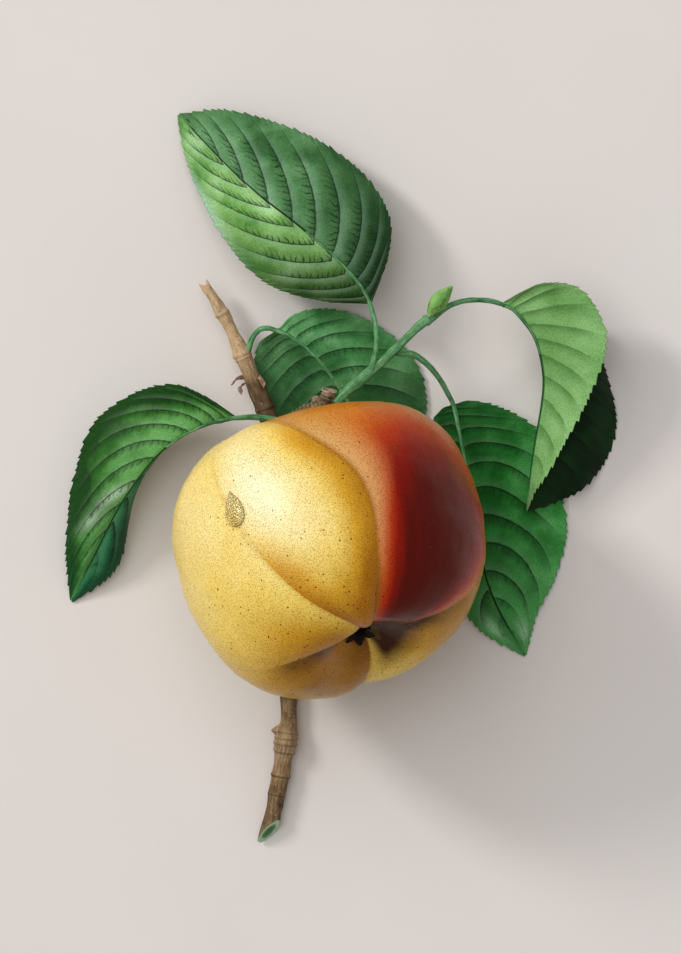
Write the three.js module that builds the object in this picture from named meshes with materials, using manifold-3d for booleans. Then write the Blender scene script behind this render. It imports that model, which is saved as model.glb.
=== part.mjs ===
// A ripe ribbed apple on its cut twig, lying on a flat surface: fruit, dried calyx, stalk, knobbly
// fruiting spur, twig with a slanting cut, green shoot with its bud, five leaves, loose bud scales
// and a drop of water. Millimetres, +Z up, origin on the surface under the middle of the fruit.
import * as THREE from 'three';
import * as BufferGeometryUtils from 'three/addons/utils/BufferGeometryUtils.js';
import Module from 'manifold-3d';

const wasm = await Module();
wasm.setup();

// ---- driving dimensions ------------------------------------------------------------------------
const GAP = 0.35; // clearance between pieces that touch in nature

// The fruit's core line runs from the stalk, which is low and behind, up to the dried flower.
const FRUIT_CENTRE = new THREE.Vector3(0.6, 0, 42.2);
const CORE = new THREE.Vector3(0.3066, -0.8097, 0.5).normalize();
const CORE_SIDE = new THREE.Vector3(-0.935, -0.354, 0).normalize();
const CORE_TOP = new THREE.Vector3().crossVectors(CORE_SIDE, CORE).normalize();

// Half section of the fruit, from the calyx basin round to the stalk cavity:
// [distance from the core line, height towards the calyx, depth of the creases there]
const FRUIT_SECTION = [
  [0, 26.3, 0], [3.5, 26.6, 0.3], [7, 29.2, 1], [11, 32.4, 2], [16, 34.5, 2.7],
  [23, 33.2, 2.6], [31.5, 27.2, 1.9], [37.6, 16.8, 1.3], [40.7, 4, 1.1], [41.1, -8.5, 0.9],
  [38.8, -20.5, 0.7], [32.2, -29, 0.6], [23.5, -33.4, 0.8], [15.5, -32.6, 1], [8, -28.5, 0.8],
  [3, -23.5, 0.3], [0, -22, 0],
];
// Five lobes, each running from its own crease to the next one round the core line.
// line: degrees round the core at evenly spaced rows of the crease, from calyx to stalk
// strengths: times the section's depth, at evenly spaced rows too
// calyxFull, stalkFull: how much the lobe swells or shrinks at each end; columns: mesh columns
const LOBES = [
  {
    line: [0, 2, 7, 25, 34, 37, 38, 38, 38], strengths: [0.2, 0.35, 0.55, 0.2, 0.3],
    calyxFull: 0.5, stalkFull: 1.2, columns: 11,
  },
  {
    line: [30, 33, 50, 84, 100, 102, 100, 100, 100], strengths: [0.3, 0.3, 0.05, 0.05, 0.2],
    calyxFull: 0.2, stalkFull: 1.5, columns: 11,
  },
  {
    line: [195, 180, 167, 163, 162, 163, 164, 165, 166], strengths: [1.4, 1.5, 0.9, 0.5, 0.8],
    calyxFull: -2.6, stalkFull: -0.6, columns: 11,
  },
  {
    line: [268, 280, 282, 266, 256, 250, 246, 243, 240], strengths: [1.1, 1.2, 1, 0.7, 0.8],
    calyxFull: -0.6, stalkFull: -0.2, columns: 15,
  },
  {
    line: [350, 348, 346, 343, 342, 361, 377, 382, 384], strengths: [0.5, 0.9, 1.6, 1.2, 0.9],
    calyxFull: 0, stalkFull: -0.5, columns: 8,
  },
];
const CREASE_SHARPNESS = 2.8;
const LOBE_ROUNDNESS = 2.2;
const FRUIT_LEAN = 2; // the waist leans away from the core line
const SHOULDER_DROP = { height: 5, azimuth: -25, narrowness: 2.5 };
const FLANK_BULGE = { height: 2.8, azimuth: 94, narrowness: 10, row: 0.42, reach: 0.32 };
const FRUIT_ROWS = 34;
// Rows between which each effect fades in, or out.
const WAIST_ROWS = [0.48, 0.78];
const SHOULDER_ROWS = [0.5, 0.8];
const CAVITY_ROWS = [0.86, 1];
const GROUND = { width: 60, depth: 10 }; // what flattens the fruit where it lies

// Twig: [x, y, z, radius] from the broken tip, under the fruit, to the cut end.
const TWIG = [
  [-34, 72.3, 7.5, 1.3], [-31.3, 68, 7.2, 1.45], [-29.4, 64.7, 6.9, 1.75], [-27.4, 61, 6.6, 1.65],
  [-25.4, 57, 6.3, 1.8], [-23.8, 53.3, 6, 2.3], [-22.2, 49.7, 5.6, 2.2], [-20.6, 46, 5.3, 2.45],
  [-19, 42, 5.1, 2.45], [-17.4, 38, 5, 2.5], [-16.2, 33.5, 4.8, 2.5], [-17, 26, 4.2, 2.5],
  [-21, 15, 3.4, 2.4], [-25, 3, 2.8, 2.3], [-25, -9, 2.6, 2.3], [-21, -21, 2.5, 2.3],
  [-14.8, -31, 2.6, 2.3], [-11.3, -39, 2.5, 2.3], [-11.1, -46.5, 2.6, 2.15], [-11.6, -50, 3.1, 3.05],
  [-12, -53.5, 3.1, 3.0], [-12.5, -57, 2.6, 2.4], [-13.2, -61.6, 2.5, 2.45], [-14.2, -66.5, 2.4, 2.3],
  [-15.3, -72, 2.3, 2.25], [-16.6, -77.2, 2.3, 2.3],
];
const TWIG_CUT_NORMAL = new THREE.Vector3(0.49, -0.69, 0.53).normalize();
const TWIG_PITH_DEPTH = 0.8;
const TWIG_BREAK = 0.7; // height of the ragged points at the broken tip
const TWIG_MESH = { sides: 12, steps: 74 };

// Fruiting spur, from the twig to the crater left by an old cluster.
const SPUR = [
  [-13.2, 31, 9.6, 1.7], [-12, 33.3, 13.5, 1.6], [-9.6, 35.4, 17, 1.15], [-6.6, 37.1, 18.6, 1.05],
  [-3.6, 38.4, 19.6, 1.25], [-1.2, 39.8, 20.3, 1.75], [-0.3, 41.6, 20.8, 1.75], [0, 43.3, 21.2, 2.05],
];
const SPUR_KNOB = { centre: [-3.2, 40.3, 20.2], radius: 1.25 };
const SPUR_CRATER_DEPTH = 1.1;
const SPUR_MESH = { sides: 10, steps: 22 };

// Green shoot, from the spur to the step where the bud and the last leaf part.
const SHOOT = [
  [2.9, 41.1, 20.8, 1.25], [5, 43, 20.9, 1.5], [8, 45.4, 21.2, 1.5], [11, 48, 21.6, 1.5],
  [15, 51.5, 22.3, 1.25], [18.5, 54.8, 23, 1.15], [22, 58.3, 23.6, 1.05], [24.4, 60.6, 24, 1.2],
  [26.8, 62.4, 24.2, 1.25],
];
const BUD = [
  [27.8, 64.7, 25.4, 0.9], [28.5, 65.6, 25.5, 1.6], [29.6, 67, 25.5, 2.1], [30.9, 68.7, 25.9, 1.75],
  [32.2, 70.3, 26.2, 0.95], [33.3, 71.6, 26.5, 0.2],
];
const SHOOT_MESH = { sides: 10, steps: 24 };
const BUD_MESH = { sides: 10, steps: 12 };

// The stalk runs down the core line, out of the cavity, to the spur.
const STALK_FROM = -23.5;
const STALK_TO = -40.5;
const STALK_RADII = [1.2, 1.15, 1.3, 1.7];
const STALK_BEND = 1.2;
const STALK_MESH = { sides: 10, steps: 10 };

// Leaves. stalk: [x, y, z, radius] up to the blade. rows: across the blade from base to tip, each
// [midrib point, margin point of one half, margin point of the other], along a pair of side veins.
const LEAVES = {
  leaf_top: {
    colour: '#3f7a40',
    stalk: [[12.1, 51.7, 23.1, 0.8], [12.7, 54, 22.6, 0.7], [12.9, 57.5, 21.6, 0.65], [12.4, 62, 20, 0.7]],
    rows: [
      [[11, 67, 18.6], [11.6, 67, 18.6], [10.4, 66.7, 18.6]],
      [[9, 71, 20.2], [16, 79.5, 17], [-1, 67.4, 17.5]],
      [[6.3, 74.3, 21.3], [16.5, 90, 14.5], [-13, 70.4, 14.5]],
      [[2.5, 78.5, 22], [10.5, 101, 12], [-21.5, 76, 12.5]],
      [[-3, 83.5, 22], [-1, 110.3, 10], [-29, 85, 10]],
      [[-10, 89.3, 20.5], [-12.5, 115.4, 8], [-34, 94, 7.5]],
      [[-18, 95.5, 17.5], [-22, 118.7, 6], [-37.3, 101, 5]],
      [[-26, 102.7, 13], [-30.5, 119.8, 4], [-39.5, 108, 3]],
      [[-34, 111, 7], [-36.5, 119.2, 2], [-40.8, 113.5, 1.6]],
      [[-41, 118.6, 0.4], [-40.6, 119, 0.3], [-41.4, 118.2, 0.3]],
    ],
  },
  leaf_left: {
    colour: '#2f6b2c',
    stalk: [[-13.6, 35, 9.6, 0.9], [-17, 35.7, 10, 0.85], [-20.5, 36, 11.2, 0.8], [-23, 35.9, 12.6, 0.75]],
    rows: [
      [[-25.5, 35.6, 14], [-25.4, 36.2, 14], [-25.6, 35.1, 13.6]],
      [[-28.5, 35, 16], [-34, 41.8, 15.5], [-30.5, 35.6, 8]],
      [[-32, 34.2, 18], [-43, 44.9, 14.5], [-36, 36, 6.5]],
      [[-36, 32.6, 20], [-54.5, 41.8, 12], [-43, 35.5, 5]],
      [[-41.5, 29.6, 21], [-64.3, 33.8, 9.5], [-49.5, 30.5, 4.5]],
      [[-47, 25, 20.5], [-69, 22, 8], [-53.8, 22.5, 4.5]],
      [[-53, 17.6, 18], [-71.1, 9.5, 7], [-55, 12, 5]],
      [[-58, 10, 14], [-71.7, 1, 5.5], [-55.4, 3.2, 5.5]],
      [[-63, 0.3, 8.5], [-71.5, -6, 3.5], [-59, -6.5, 3.5]],
      [[-70.4, -14, 0.4], [-70.8, -13.6, 0.3], [-70, -14.6, 0.3]],
    ],
  },
  leaf_behind: {
    colour: '#2c6a3c',
    stalk: [[-20.9, 54.6, 6.6, 0.8], [-21, 57.3, 8, 0.75], [-19, 59.7, 9.3, 0.7], [-16.6, 60.2, 9.4, 0.7]],
    rows: [
      [[-14.3, 59.5, 9], [-13.8, 59.9, 9], [-14.8, 59.1, 9]],
      [[-11.5, 58.4, 9.5], [-9.5, 64, 6.5], [-18.8, 56.6, 5]],
      [[-8, 56.2, 9.5], [-1, 65.6, 4.5], [-20.2, 52.5, 2.6]],
      [[-4.5, 53.2, 9], [8.5, 63.4, 2.6], [-20.3, 47.5, 1.6]],
      [[-0.5, 48.6, 8], [17.5, 57.9, 1.6], [-18.8, 41.5, 1.2]],
      [[3, 43.5, 7], [24, 50.3, 1.2], [-15.5, 35, 1]],
      [[7, 37, 6], [26.4, 42, 1], [-10, 28.5, 0.9]],
      [[11.5, 29, 4.5], [25.8, 33, 1], [-2, 22, 0.9]],
      [[16, 21, 2.8], [23, 22, 1], [8, 17, 0.9]],
      [[19.5, 14, 0.5], [20, 14.4, 0.3], [19, 13.6, 0.3]],
    ],
  },
  leaf_right: {
    colour: '#7aa866',
    stalk: [
      [28.9, 63.3, 23.2, 0.85], [31, 65, 23.2, 0.8], [33.5, 66.5, 23.1, 0.75], [37, 67.5, 22.9, 0.7],
      [40.7, 67.7, 21.6, 0.7], [44.2, 67.4, 19.8, 0.7],
    ],
    rows: [
      [[47.2, 66.7, 18], [47.6, 67.3, 18.4], [47.5, 66.2, 17.5]],
      [[48.8, 66.1, 17.8], [58, 72.3, 19.5], [54, 69, 13.5]],
      [[50.5, 65.1, 17.5], [68.5, 70.5, 20], [62, 68, 9.5]],
      [[53, 62.5, 17], [74.8, 60.5, 20], [70.5, 61, 6]],
      [[56, 58.3, 16], [74.6, 51.5, 19.5], [75, 50.5, 3.5]],
      [[57.8, 53, 15], [71.5, 43.5, 18.5], [77.6, 41, 2]],
      [[58.7, 46, 13.5], [68, 36, 17], [78.2, 32.5, 0.5]],
      [[58, 38.5, 12.5], [63.5, 28, 15], [75.6, 24.5, 0.5]],
      [[56.3, 29, 11], [59.8, 21, 13], [70, 17.3, 3]],
      [[54.8, 19, 9.5], [56.3, 16, 10.7], [62, 12.8, 5.5]],
      [[54, 10.6, 7.5], [54.3, 10.9, 7.9], [54.2, 10.2, 7.1]],
    ],
  },
  leaf_right_back: {
    colour: '#245c2a',
    stalk: [
      [20.1, 53.1, 21.4, 0.85], [22.5, 53.1, 20.9, 0.85], [25, 51.6, 19.6, 0.85], [27.7, 49.2, 17.8, 0.8],
      [30.2, 46, 15.4, 0.75], [32.2, 42.5, 12.8, 0.7],
    ],
    rows: [
      [[33.8, 39.3, 10.6], [34.5, 39.6, 10.4], [33.1, 39.2, 10.3]],
      [[34.8, 35, 10.5], [38.5, 40.5, 9], [30.5, 38, 8]],
      [[35.8, 30, 10], [46, 38.9, 7], [27.3, 33, 6]],
      [[37, 24.5, 9.2], [54.5, 34.6, 4.5], [26.5, 24, 5]],
      [[38.5, 17.5, 8.2], [60, 27.5, 2.2], [27.5, 14, 4.5]],
      [[40, 9, 7], [63.3, 15, 1.2], [29, 4, 3.5]],
      [[41.3, 0, 5.5], [64.8, 4.5, 1], [31, -6, 2.5]],
      [[43.2, -9, 4], [61.8, -7.5, 1], [35.5, -15, 1.5]],
      [[47, -18, 2.5], [56.8, -17.5, 1], [42, -22.8, 1]],
      [[53.6, -29, 0.5], [53.9, -28.6, 0.3], [53.2, -29.4, 0.3]],
    ],
  },
};
const LEAF_THICKNESS = 0.6;
const LEAF_ARCH = 0.07; // rise of each half between midrib and margin, as a share of its width
const LEAF_STEPS = 22;
const LEAF_ACROSS = 8;
const MIDRIB_FROM = 0.62; // radius at the base of the blade
const MIDRIB_TO = 0.36; // radius towards its tip
const MIDRIB_SINK = 0.3;
const MIDRIB_MESH = { sides: 8, steps: 26 };

// Dried bud scales still hanging on the twig: [x, y, z] along each, root to tip, and its width.
const BUD_SCALES = [
  { path: [[-23.5, 46.3, 6.5], [-25, 46.2, 7], [-26.4, 44.8, 6.4]], width: 1.5 },
  { path: [[-23.7, 44.6, 5.6], [-24, 43.6, 5.4], [-23.6, 42.4, 4.6]], width: 1.5 },
  { path: [[-18.6, 46.6, 8.1], [-17.8, 45.4, 8.3], [-17.9, 44.2, 7.8]], width: 1.4 },
];
const SCALE_THICKNESS = 0.5;
const SCALE_TAPER = [1, 0.9, 0.25];
const SCALE_SIDEWAYS = new THREE.Vector3(0.5, 0.6, 0.6);

// Dried sepals in the calyx basin: [distance from the core line, height] along each one.
const SEPAL_COUNT = 5;
const SEPAL_LINE = [[1.4, 27.1], [2, 28.4], [3, 29.4], [4.1, 29.8]];
const SEPAL_WIDTHS = [1.1, 2.1, 1.9, 0.5];
const SEPAL_THICKNESS = 0.6;
const SEPAL_TURN = 0.3; // of the angle between two sepals
const SEPALS_ASIDE = 0.8; // the dried flower sits a little to one side of the core line
const STRIP_CUP = 0.2; // hollow along a sepal or a scale

// Drop of water on the skin: place on the fruit, length, width and height.
const DROP = {
  azimuth: 33, row: 0.535, length: 10.8, width: 6.8, height: 1.5, lean: -7, narrowing: 0.55,
};

const BARK = '#6f5844';
const OLD_BARK = '#8d8266';
const GREEN_STEM = '#5c8f5f';

// ---- helpers ------------------------------------------------------------------------------------
function spline(points) {
  const knots = points.map(([x, y = 0, z = 0]) => new THREE.Vector3(x, y, z));
  return new THREE.CatmullRomCurve3(knots, false, 'catmullrom', 0.5);
}

function smooth(value, from, to) {
  return THREE.MathUtils.smoothstep(value, from, to);
}

function moveVertices(geometry, place) {
  const position = geometry.attributes.position;
  const uv = geometry.attributes.uv;
  const point = new THREE.Vector3();
  for (let i = 0; i < position.count; i += 1) {
    point.fromBufferAttribute(position, i);
    const moved = place(point, uv.getX(i), uv.getY(i));
    position.setXYZ(i, moved.x, moved.y, moved.z);
  }
  geometry.deleteAttribute('normal');
  geometry.deleteAttribute('uv');
  return BufferGeometryUtils.mergeVertices(geometry, 1e-4);
}

function toSolid(geometry) {
  return new wasm.Manifold(new wasm.Mesh({
    numProp: 3,
    vertProperties: new Float32Array(geometry.attributes.position.array),
    triVerts: new Uint32Array(geometry.index.array),
  }));
}

function fromSolid(solid) {
  const mesh = solid.getMesh();
  const geometry = new THREE.BufferGeometry();
  geometry.setAttribute('position', new THREE.BufferAttribute(mesh.vertProperties, 3));
  geometry.setIndex(new THREE.BufferAttribute(mesh.triVerts, 1));
  return geometry;
}

function joined(...geometries) {
  return fromSolid(geometries.map(toSolid).reduce((whole, next) => whole.add(next)));
}

// A closed round tube along points of [x, y, z, radius]. finish() may move the end caps and rims.
function tube(points, { sides, steps }, finish = (p) => p) {
  const line = spline(points);
  const radii = spline(points.map((p) => [p[3]]));
  const rod = new THREE.CylinderGeometry(1, 1, 1, sides, steps);
  const zenith = new THREE.Vector3(0, 0, 1);
  return moveVertices(rod, (p) => {
    const along = THREE.MathUtils.clamp(0.5 - p.y, 0, 1);
    const centre = line.getPoint(along);
    const tangent = line.getTangent(along);
    const side = new THREE.Vector3().crossVectors(zenith, tangent).normalize();
    const up = new THREE.Vector3().crossVectors(tangent, side);
    const radius = radii.getPoint(along).x;
    const spoke = side.multiplyScalar(p.x * radius).addScaledVector(up, p.z * radius);
    const place = { along, spoke, tangent, onRim: Math.hypot(p.x, p.z) > 0.5 };
    return finish(centre.add(spoke), place);
  });
}

// A thin curled strip whose centre line and half widths are splines.
function strip(line, sideways, widths, thickness) {
  const slab = new THREE.BoxGeometry(1, 1, 1, 6, 2, 1);
  const widthAt = spline(widths.map((w) => [w]));
  return moveVertices(slab, (p) => {
    const along = p.x + 0.5;
    const tangent = line.getTangent(along);
    const side = sideways.clone().addScaledVector(tangent, -sideways.dot(tangent)).normalize();
    const face = new THREE.Vector3().crossVectors(tangent, side);
    const cupped = STRIP_CUP * (1 - 4 * p.y * p.y);
    return line.getPoint(along)
      .addScaledVector(side, p.y * widthAt.getPoint(along).x)
      .addScaledVector(face, p.z * thickness - cupped);
  });
}

// ---- the fruit ----------------------------------------------------------------------------------
const fruitSection = spline(FRUIT_SECTION);
const creaseLines = LOBES.map(({ line }) => spline(line.map((azimuth) => [azimuth])));
const creaseStrengths = LOBES.map(({ strengths }) => spline(strengths.map((value) => [value])));

function creaseAzimuth(lobe, row) {
  const turn = lobe >= LOBES.length ? 360 : 0;
  return turn + creaseLines[lobe % LOBES.length].getPoint(row).x;
}

// How high a swelling on one side of the fruit stands at another azimuth, in radians.
function sidedHeight(azimuth, { height, azimuth: middle, narrowness }) {
  return height * Math.max(0, Math.cos(azimuth - THREE.MathUtils.degToRad(middle))) ** narrowness;
}

// The skin at a share of the way across a lobe, on a row from calyx (0) to stalk (1).
function lobePoint(lobe, share, row, lift = 0) {
  const here = LOBES[lobe];
  const startStrength = creaseStrengths[lobe].getPoint(row).x;
  const endStrength = creaseStrengths[(lobe + 1) % LOBES.length].getPoint(row).x;
  const azimuth = THREE.MathUtils.degToRad(
    THREE.MathUtils.lerp(creaseAzimuth(lobe, row), creaseAzimuth(lobe + 1, row), share),
  );
  const section = fruitSection.getPoint(row);
  const tangent = fruitSection.getTangent(row);
  const steep = Math.hypot(tangent.x, tangent.y);
  const edge = Math.abs(2 * share - 1);
  const crease = section.z * THREE.MathUtils.lerp(startStrength, endStrength, share);
  const full = THREE.MathUtils.lerp(here.calyxFull, here.stalkFull, smooth(row, ...WAIST_ROWS));
  const swell = full * (1 - edge ** LOBE_ROUNDNESS) * Math.sin(Math.PI * row);
  const nearFlank = 1 - smooth(Math.abs(row - FLANK_BULGE.row), 0, FLANK_BULGE.reach);
  const bulge = nearFlank * sidedHeight(azimuth, FLANK_BULGE);
  const rise = lift + swell + bulge - crease * edge ** CREASE_SHARPNESS;
  const nearShoulder = smooth(row, ...SHOULDER_ROWS) * (1 - smooth(row, ...CAVITY_ROWS));
  const drop = nearShoulder * sidedHeight(azimuth, SHOULDER_DROP);
  const radius = section.x - (rise * tangent.y) / steep;
  const height = section.y + (rise * tangent.x) / steep + drop;
  return FRUIT_CENTRE.clone()
    .addScaledVector(CORE, height)
    .addScaledVector(CORE_TOP, radius * Math.cos(azimuth))
    .addScaledVector(CORE_SIDE, radius * Math.sin(azimuth) - FRUIT_LEAN * Math.sin(Math.PI * row) ** 2);
}

// The skin at an azimuth in degrees, for what lies on the fruit.
function skinPoint(azimuth, row, lift) {
  const turned = azimuth < creaseAzimuth(0, row) ? azimuth + 360 : azimuth;
  let lobe = 0;
  while (lobe < LOBES.length - 1 && turned >= creaseAzimuth(lobe + 1, row)) {
    lobe += 1;
  }
  const from = creaseAzimuth(lobe, row);
  const share = (turned - from) / (creaseAzimuth(lobe + 1, row) - from);
  return lobePoint(lobe, share, row, lift);
}

function fruitGeometry() {
  const columns = LOBES.reduce((sum, lobe) => sum + lobe.columns, 0);
  const ball = new THREE.SphereGeometry(1, columns, FRUIT_ROWS);
  const skin = moveVertices(ball, (p, u, v) => {
    let column = (Math.round(u * columns * 2) / 2) % columns;
    let lobe = 0;
    while (lobe < LOBES.length - 1 && column >= LOBES[lobe].columns) {
      column -= LOBES[lobe].columns;
      lobe += 1;
    }
    return lobePoint(lobe, column / LOBES[lobe].columns, 1 - v);
  });
  const ground = new THREE.BoxGeometry(GROUND.width, GROUND.width, GROUND.depth)
    .translate(0, 0, -GROUND.depth / 2);
  ground.deleteAttribute('normal');
  ground.deleteAttribute('uv');
  const below = toSolid(BufferGeometryUtils.mergeVertices(ground));
  return fromSolid(toSolid(skin).subtract(below));
}

function sepalGeometry(index) {
  const azimuth = ((index + SEPAL_TURN) * 2 * Math.PI) / SEPAL_COUNT;
  const outward = CORE_TOP.clone().multiplyScalar(Math.cos(azimuth))
    .addScaledVector(CORE_SIDE, Math.sin(azimuth));
  const points = SEPAL_LINE.map(([distance, height]) => FRUIT_CENTRE.clone()
    .addScaledVector(CORE, height)
    .addScaledVector(CORE_SIDE, SEPALS_ASIDE)
    .addScaledVector(outward, distance)
    .toArray());
  const sideways = new THREE.Vector3().crossVectors(CORE, outward);
  return strip(spline(points), sideways, SEPAL_WIDTHS, SEPAL_THICKNESS);
}

function stalkGeometry() {
  const last = STALK_RADII.length - 1;
  const points = STALK_RADII.map((radius, i) => {
    const height = THREE.MathUtils.lerp(STALK_FROM, STALK_TO, i / last);
    const bend = STALK_BEND * Math.sin((Math.PI * i) / last);
    const place = FRUIT_CENTRE.clone().addScaledVector(CORE, height).addScaledVector(CORE_SIDE, bend);
    return [...place.toArray(), radius];
  });
  return tube(points, STALK_MESH);
}

function dropGeometry() {
  const ball = new THREE.SphereGeometry(1, 16, 10);
  const middle = skinPoint(DROP.azimuth, DROP.row, 0);
  const reach = middle.distanceTo(FRUIT_CENTRE);
  const lean = THREE.MathUtils.degToRad(DROP.lean);
  const above = fruitSection.getPoint(DROP.row - 0.01);
  const rowsPerMm = 0.02 / fruitSection.getPoint(DROP.row + 0.01).distanceTo(above);
  const degreesPerMm = THREE.MathUtils.radToDeg(1 / reach);
  return moveVertices(ball, (p) => {
    const narrowing = 1 - DROP.narrowing * smooth(p.y, -0.2, 1.05);
    const along = p.y * DROP.length * 0.5;
    const across = p.x * narrowing * DROP.width * 0.5;
    const down = -along * Math.cos(lean) - across * Math.sin(lean);
    const aside = along * Math.sin(lean) - across * Math.cos(lean);
    const lift = GAP + Math.max(0, p.z) * DROP.height * narrowing;
    return skinPoint(DROP.azimuth + aside * degreesPerMm, DROP.row - down * rowsPerMm, lift);
  });
}

// ---- wood and green stems -----------------------------------------------------------------------
function twigGeometry() {
  return tube(TWIG, TWIG_MESH, (point, { along, spoke, tangent, onRim }) => {
    if (along === 1) {
      const slide = -TWIG_CUT_NORMAL.dot(spoke) / TWIG_CUT_NORMAL.dot(tangent);
      return point.addScaledVector(tangent, onRim ? slide : -TWIG_PITH_DEPTH);
    }
    if (along === 0) {
      const ragged = onRim ? Math.cos(2 * Math.atan2(spoke.y, spoke.x)) : -1;
      return point.addScaledVector(tangent, -TWIG_BREAK * ragged);
    }
    return point;
  });
}

function spurGeometry() {
  const arm = tube(SPUR, SPUR_MESH, (point, { along, tangent, onRim }) => (
    along === 1 && !onRim ? point.addScaledVector(tangent, -SPUR_CRATER_DEPTH) : point
  ));
  const ball = new THREE.SphereGeometry(SPUR_KNOB.radius, 10, 8).translate(...SPUR_KNOB.centre);
  const knob = moveVertices(ball, (p) => p);
  return joined(arm, knob);
}

// ---- leaves -------------------------------------------------------------------------------------
function bladePoint(edges, along, across) {
  const [midrib, oneMargin, otherMargin] = edges;
  const middle = midrib.getPoint(along);
  const margin = (across < 0 ? otherMargin : oneMargin).getPoint(along);
  return middle.lerp(margin, Math.abs(across));
}

function bladeNormal(edges, along, across) {
  const step = 0.01;
  const back = bladePoint(edges, Math.max(0, along - step), across);
  const ahead = bladePoint(edges, Math.min(1, along + step), across).sub(back);
  const right = bladePoint(edges, along, Math.max(-1, across - 0.2));
  const left = bladePoint(edges, along, Math.min(1, across + 0.2)).sub(right);
  return new THREE.Vector3().crossVectors(left, ahead).normalize();
}

function leafGeometry({ stalk, rows }) {
  const edges = [0, 1, 2].map((edge) => spline(rows.map((row) => row[edge])));
  const slab = new THREE.BoxGeometry(1, 1, 1, LEAF_STEPS, LEAF_ACROSS, 1);
  const blade = moveVertices(slab, (p) => {
    const along = p.x + 0.5;
    const across = -2 * p.y;
    const normal = bladeNormal(edges, along, across);
    const half = bladePoint(edges, along, Math.sign(across)).distanceTo(edges[0].getPoint(along));
    const share = Math.abs(across);
    const arch = LEAF_ARCH * half * 4 * share * (1 - share);
    return bladePoint(edges, along, across).addScaledVector(normal, arch + p.z * LEAF_THICKNESS);
  });
  const ribs = rows.slice(0, -2).map(([middle], i) => {
    const [x, y, z] = middle;
    const radius = THREE.MathUtils.lerp(MIDRIB_FROM, MIDRIB_TO, i / (rows.length - 3));
    return [x, y, z - MIDRIB_SINK, radius];
  });
  return joined(blade, tube([...stalk, ...ribs], MIDRIB_MESH));
}

function budScaleGeometry({ path, width }) {
  const widths = SCALE_TAPER.map((share) => share * width);
  return strip(spline(path), SCALE_SIDEWAYS, widths, SCALE_THICKNESS);
}

// ---- assembly -----------------------------------------------------------------------------------
const sprig = new THREE.Group();

function add(name, geometry, color, roughness) {
  const material = new THREE.MeshStandardMaterial({ color, roughness, metalness: 0 });
  const mesh = new THREE.Mesh(geometry, material);
  mesh.name = name;
  sprig.add(mesh);
}

add('apple', fruitGeometry(), '#d8b84a', 0.35);
for (let index = 0; index < SEPAL_COUNT; index += 1) {
  add(`sepal_${index + 1}`, sepalGeometry(index), '#1d140d', 0.9);
}
add('stalk', stalkGeometry(), OLD_BARK, 0.8);
add('twig', twigGeometry(), BARK, 0.85);
add('spur', spurGeometry(), OLD_BARK, 0.9);
add('shoot', tube(SHOOT, SHOOT_MESH), GREEN_STEM, 0.5);
add('bud', tube(BUD, BUD_MESH), '#8db56b', 0.55);
for (const [name, leaf] of Object.entries(LEAVES)) {
  add(name, leafGeometry(leaf), leaf.colour, 0.5);
}
BUD_SCALES.forEach((scale, index) => {
  add(`bud_scale_${index + 1}`, budScaleGeometry(scale), '#b59a7c', 0.9);
});
add('water_drop', dropGeometry(), '#e8eef0', 0.05);

export default sprig;
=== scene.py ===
"""Looks of a ripe ribbed apple on its cut twig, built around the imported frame.

Shapes are worked out in millimetres on the frame's axes, and become metres where a mesh is made.
"""
import math

import bpy
import numpy as np
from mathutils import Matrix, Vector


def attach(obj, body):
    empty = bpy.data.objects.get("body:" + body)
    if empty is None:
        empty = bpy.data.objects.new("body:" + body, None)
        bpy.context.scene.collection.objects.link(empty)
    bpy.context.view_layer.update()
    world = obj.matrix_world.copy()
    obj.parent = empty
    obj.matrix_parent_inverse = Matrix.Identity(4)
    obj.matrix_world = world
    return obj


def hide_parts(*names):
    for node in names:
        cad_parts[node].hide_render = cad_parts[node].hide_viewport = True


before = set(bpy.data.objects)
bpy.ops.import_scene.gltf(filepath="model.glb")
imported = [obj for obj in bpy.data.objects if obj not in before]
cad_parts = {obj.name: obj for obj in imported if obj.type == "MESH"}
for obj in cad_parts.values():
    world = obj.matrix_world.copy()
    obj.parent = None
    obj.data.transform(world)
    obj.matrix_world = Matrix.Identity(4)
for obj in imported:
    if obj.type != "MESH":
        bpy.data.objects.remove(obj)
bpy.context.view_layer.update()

MM = 0.001
BODY = "root"
ZENITH = np.array([0.0, 0.0, 1.0])

# ---- camera and light ---------------------------------------------------------------------------
VIEW_CENTRE = (3.1, 19.8)  # mm, the point that the camera looks straight down on
VIEW_HEIGHT = 257.3  # mm of the surface that fills the picture from bottom to top
VIEW_LEVEL = 42.0  # mm above the floor, where that height is measured
SENSOR = 36.0
LENS = 500.0
CLIP_START, CLIP_END = 0.1, 50.0
FLOOR_SIZE = 24.0
FLOOR_DEPTH = 0.0002  # the floor lies this far under the fruit's flat spot
LIGHT_TARGET = (0.0, 0.01, 0.03)
# Softboxes: direction from the object, distance and size in metres, power in watts, and colour
SOFTBOXES = {
    "key": ((-0.7, 0.47, 0.57), 3.0, (0.5, 0.72), 42, (1.0, 0.985, 0.96)),
    "overhead": ((-0.25, 0.3, 0.92), 5.0, (4.6, 4.6), 130, (1.0, 0.99, 0.98)),
}
WORLD_COLOUR = (1.0, 0.985, 0.97, 1.0)
WORLD_STRENGTH = 0.38


def look_at(obj, target):
    direction = Vector(target) - obj.location
    obj.rotation_mode = "QUATERNION"
    obj.rotation_quaternion = direction.to_track_quat("-Z", "Y")


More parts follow.
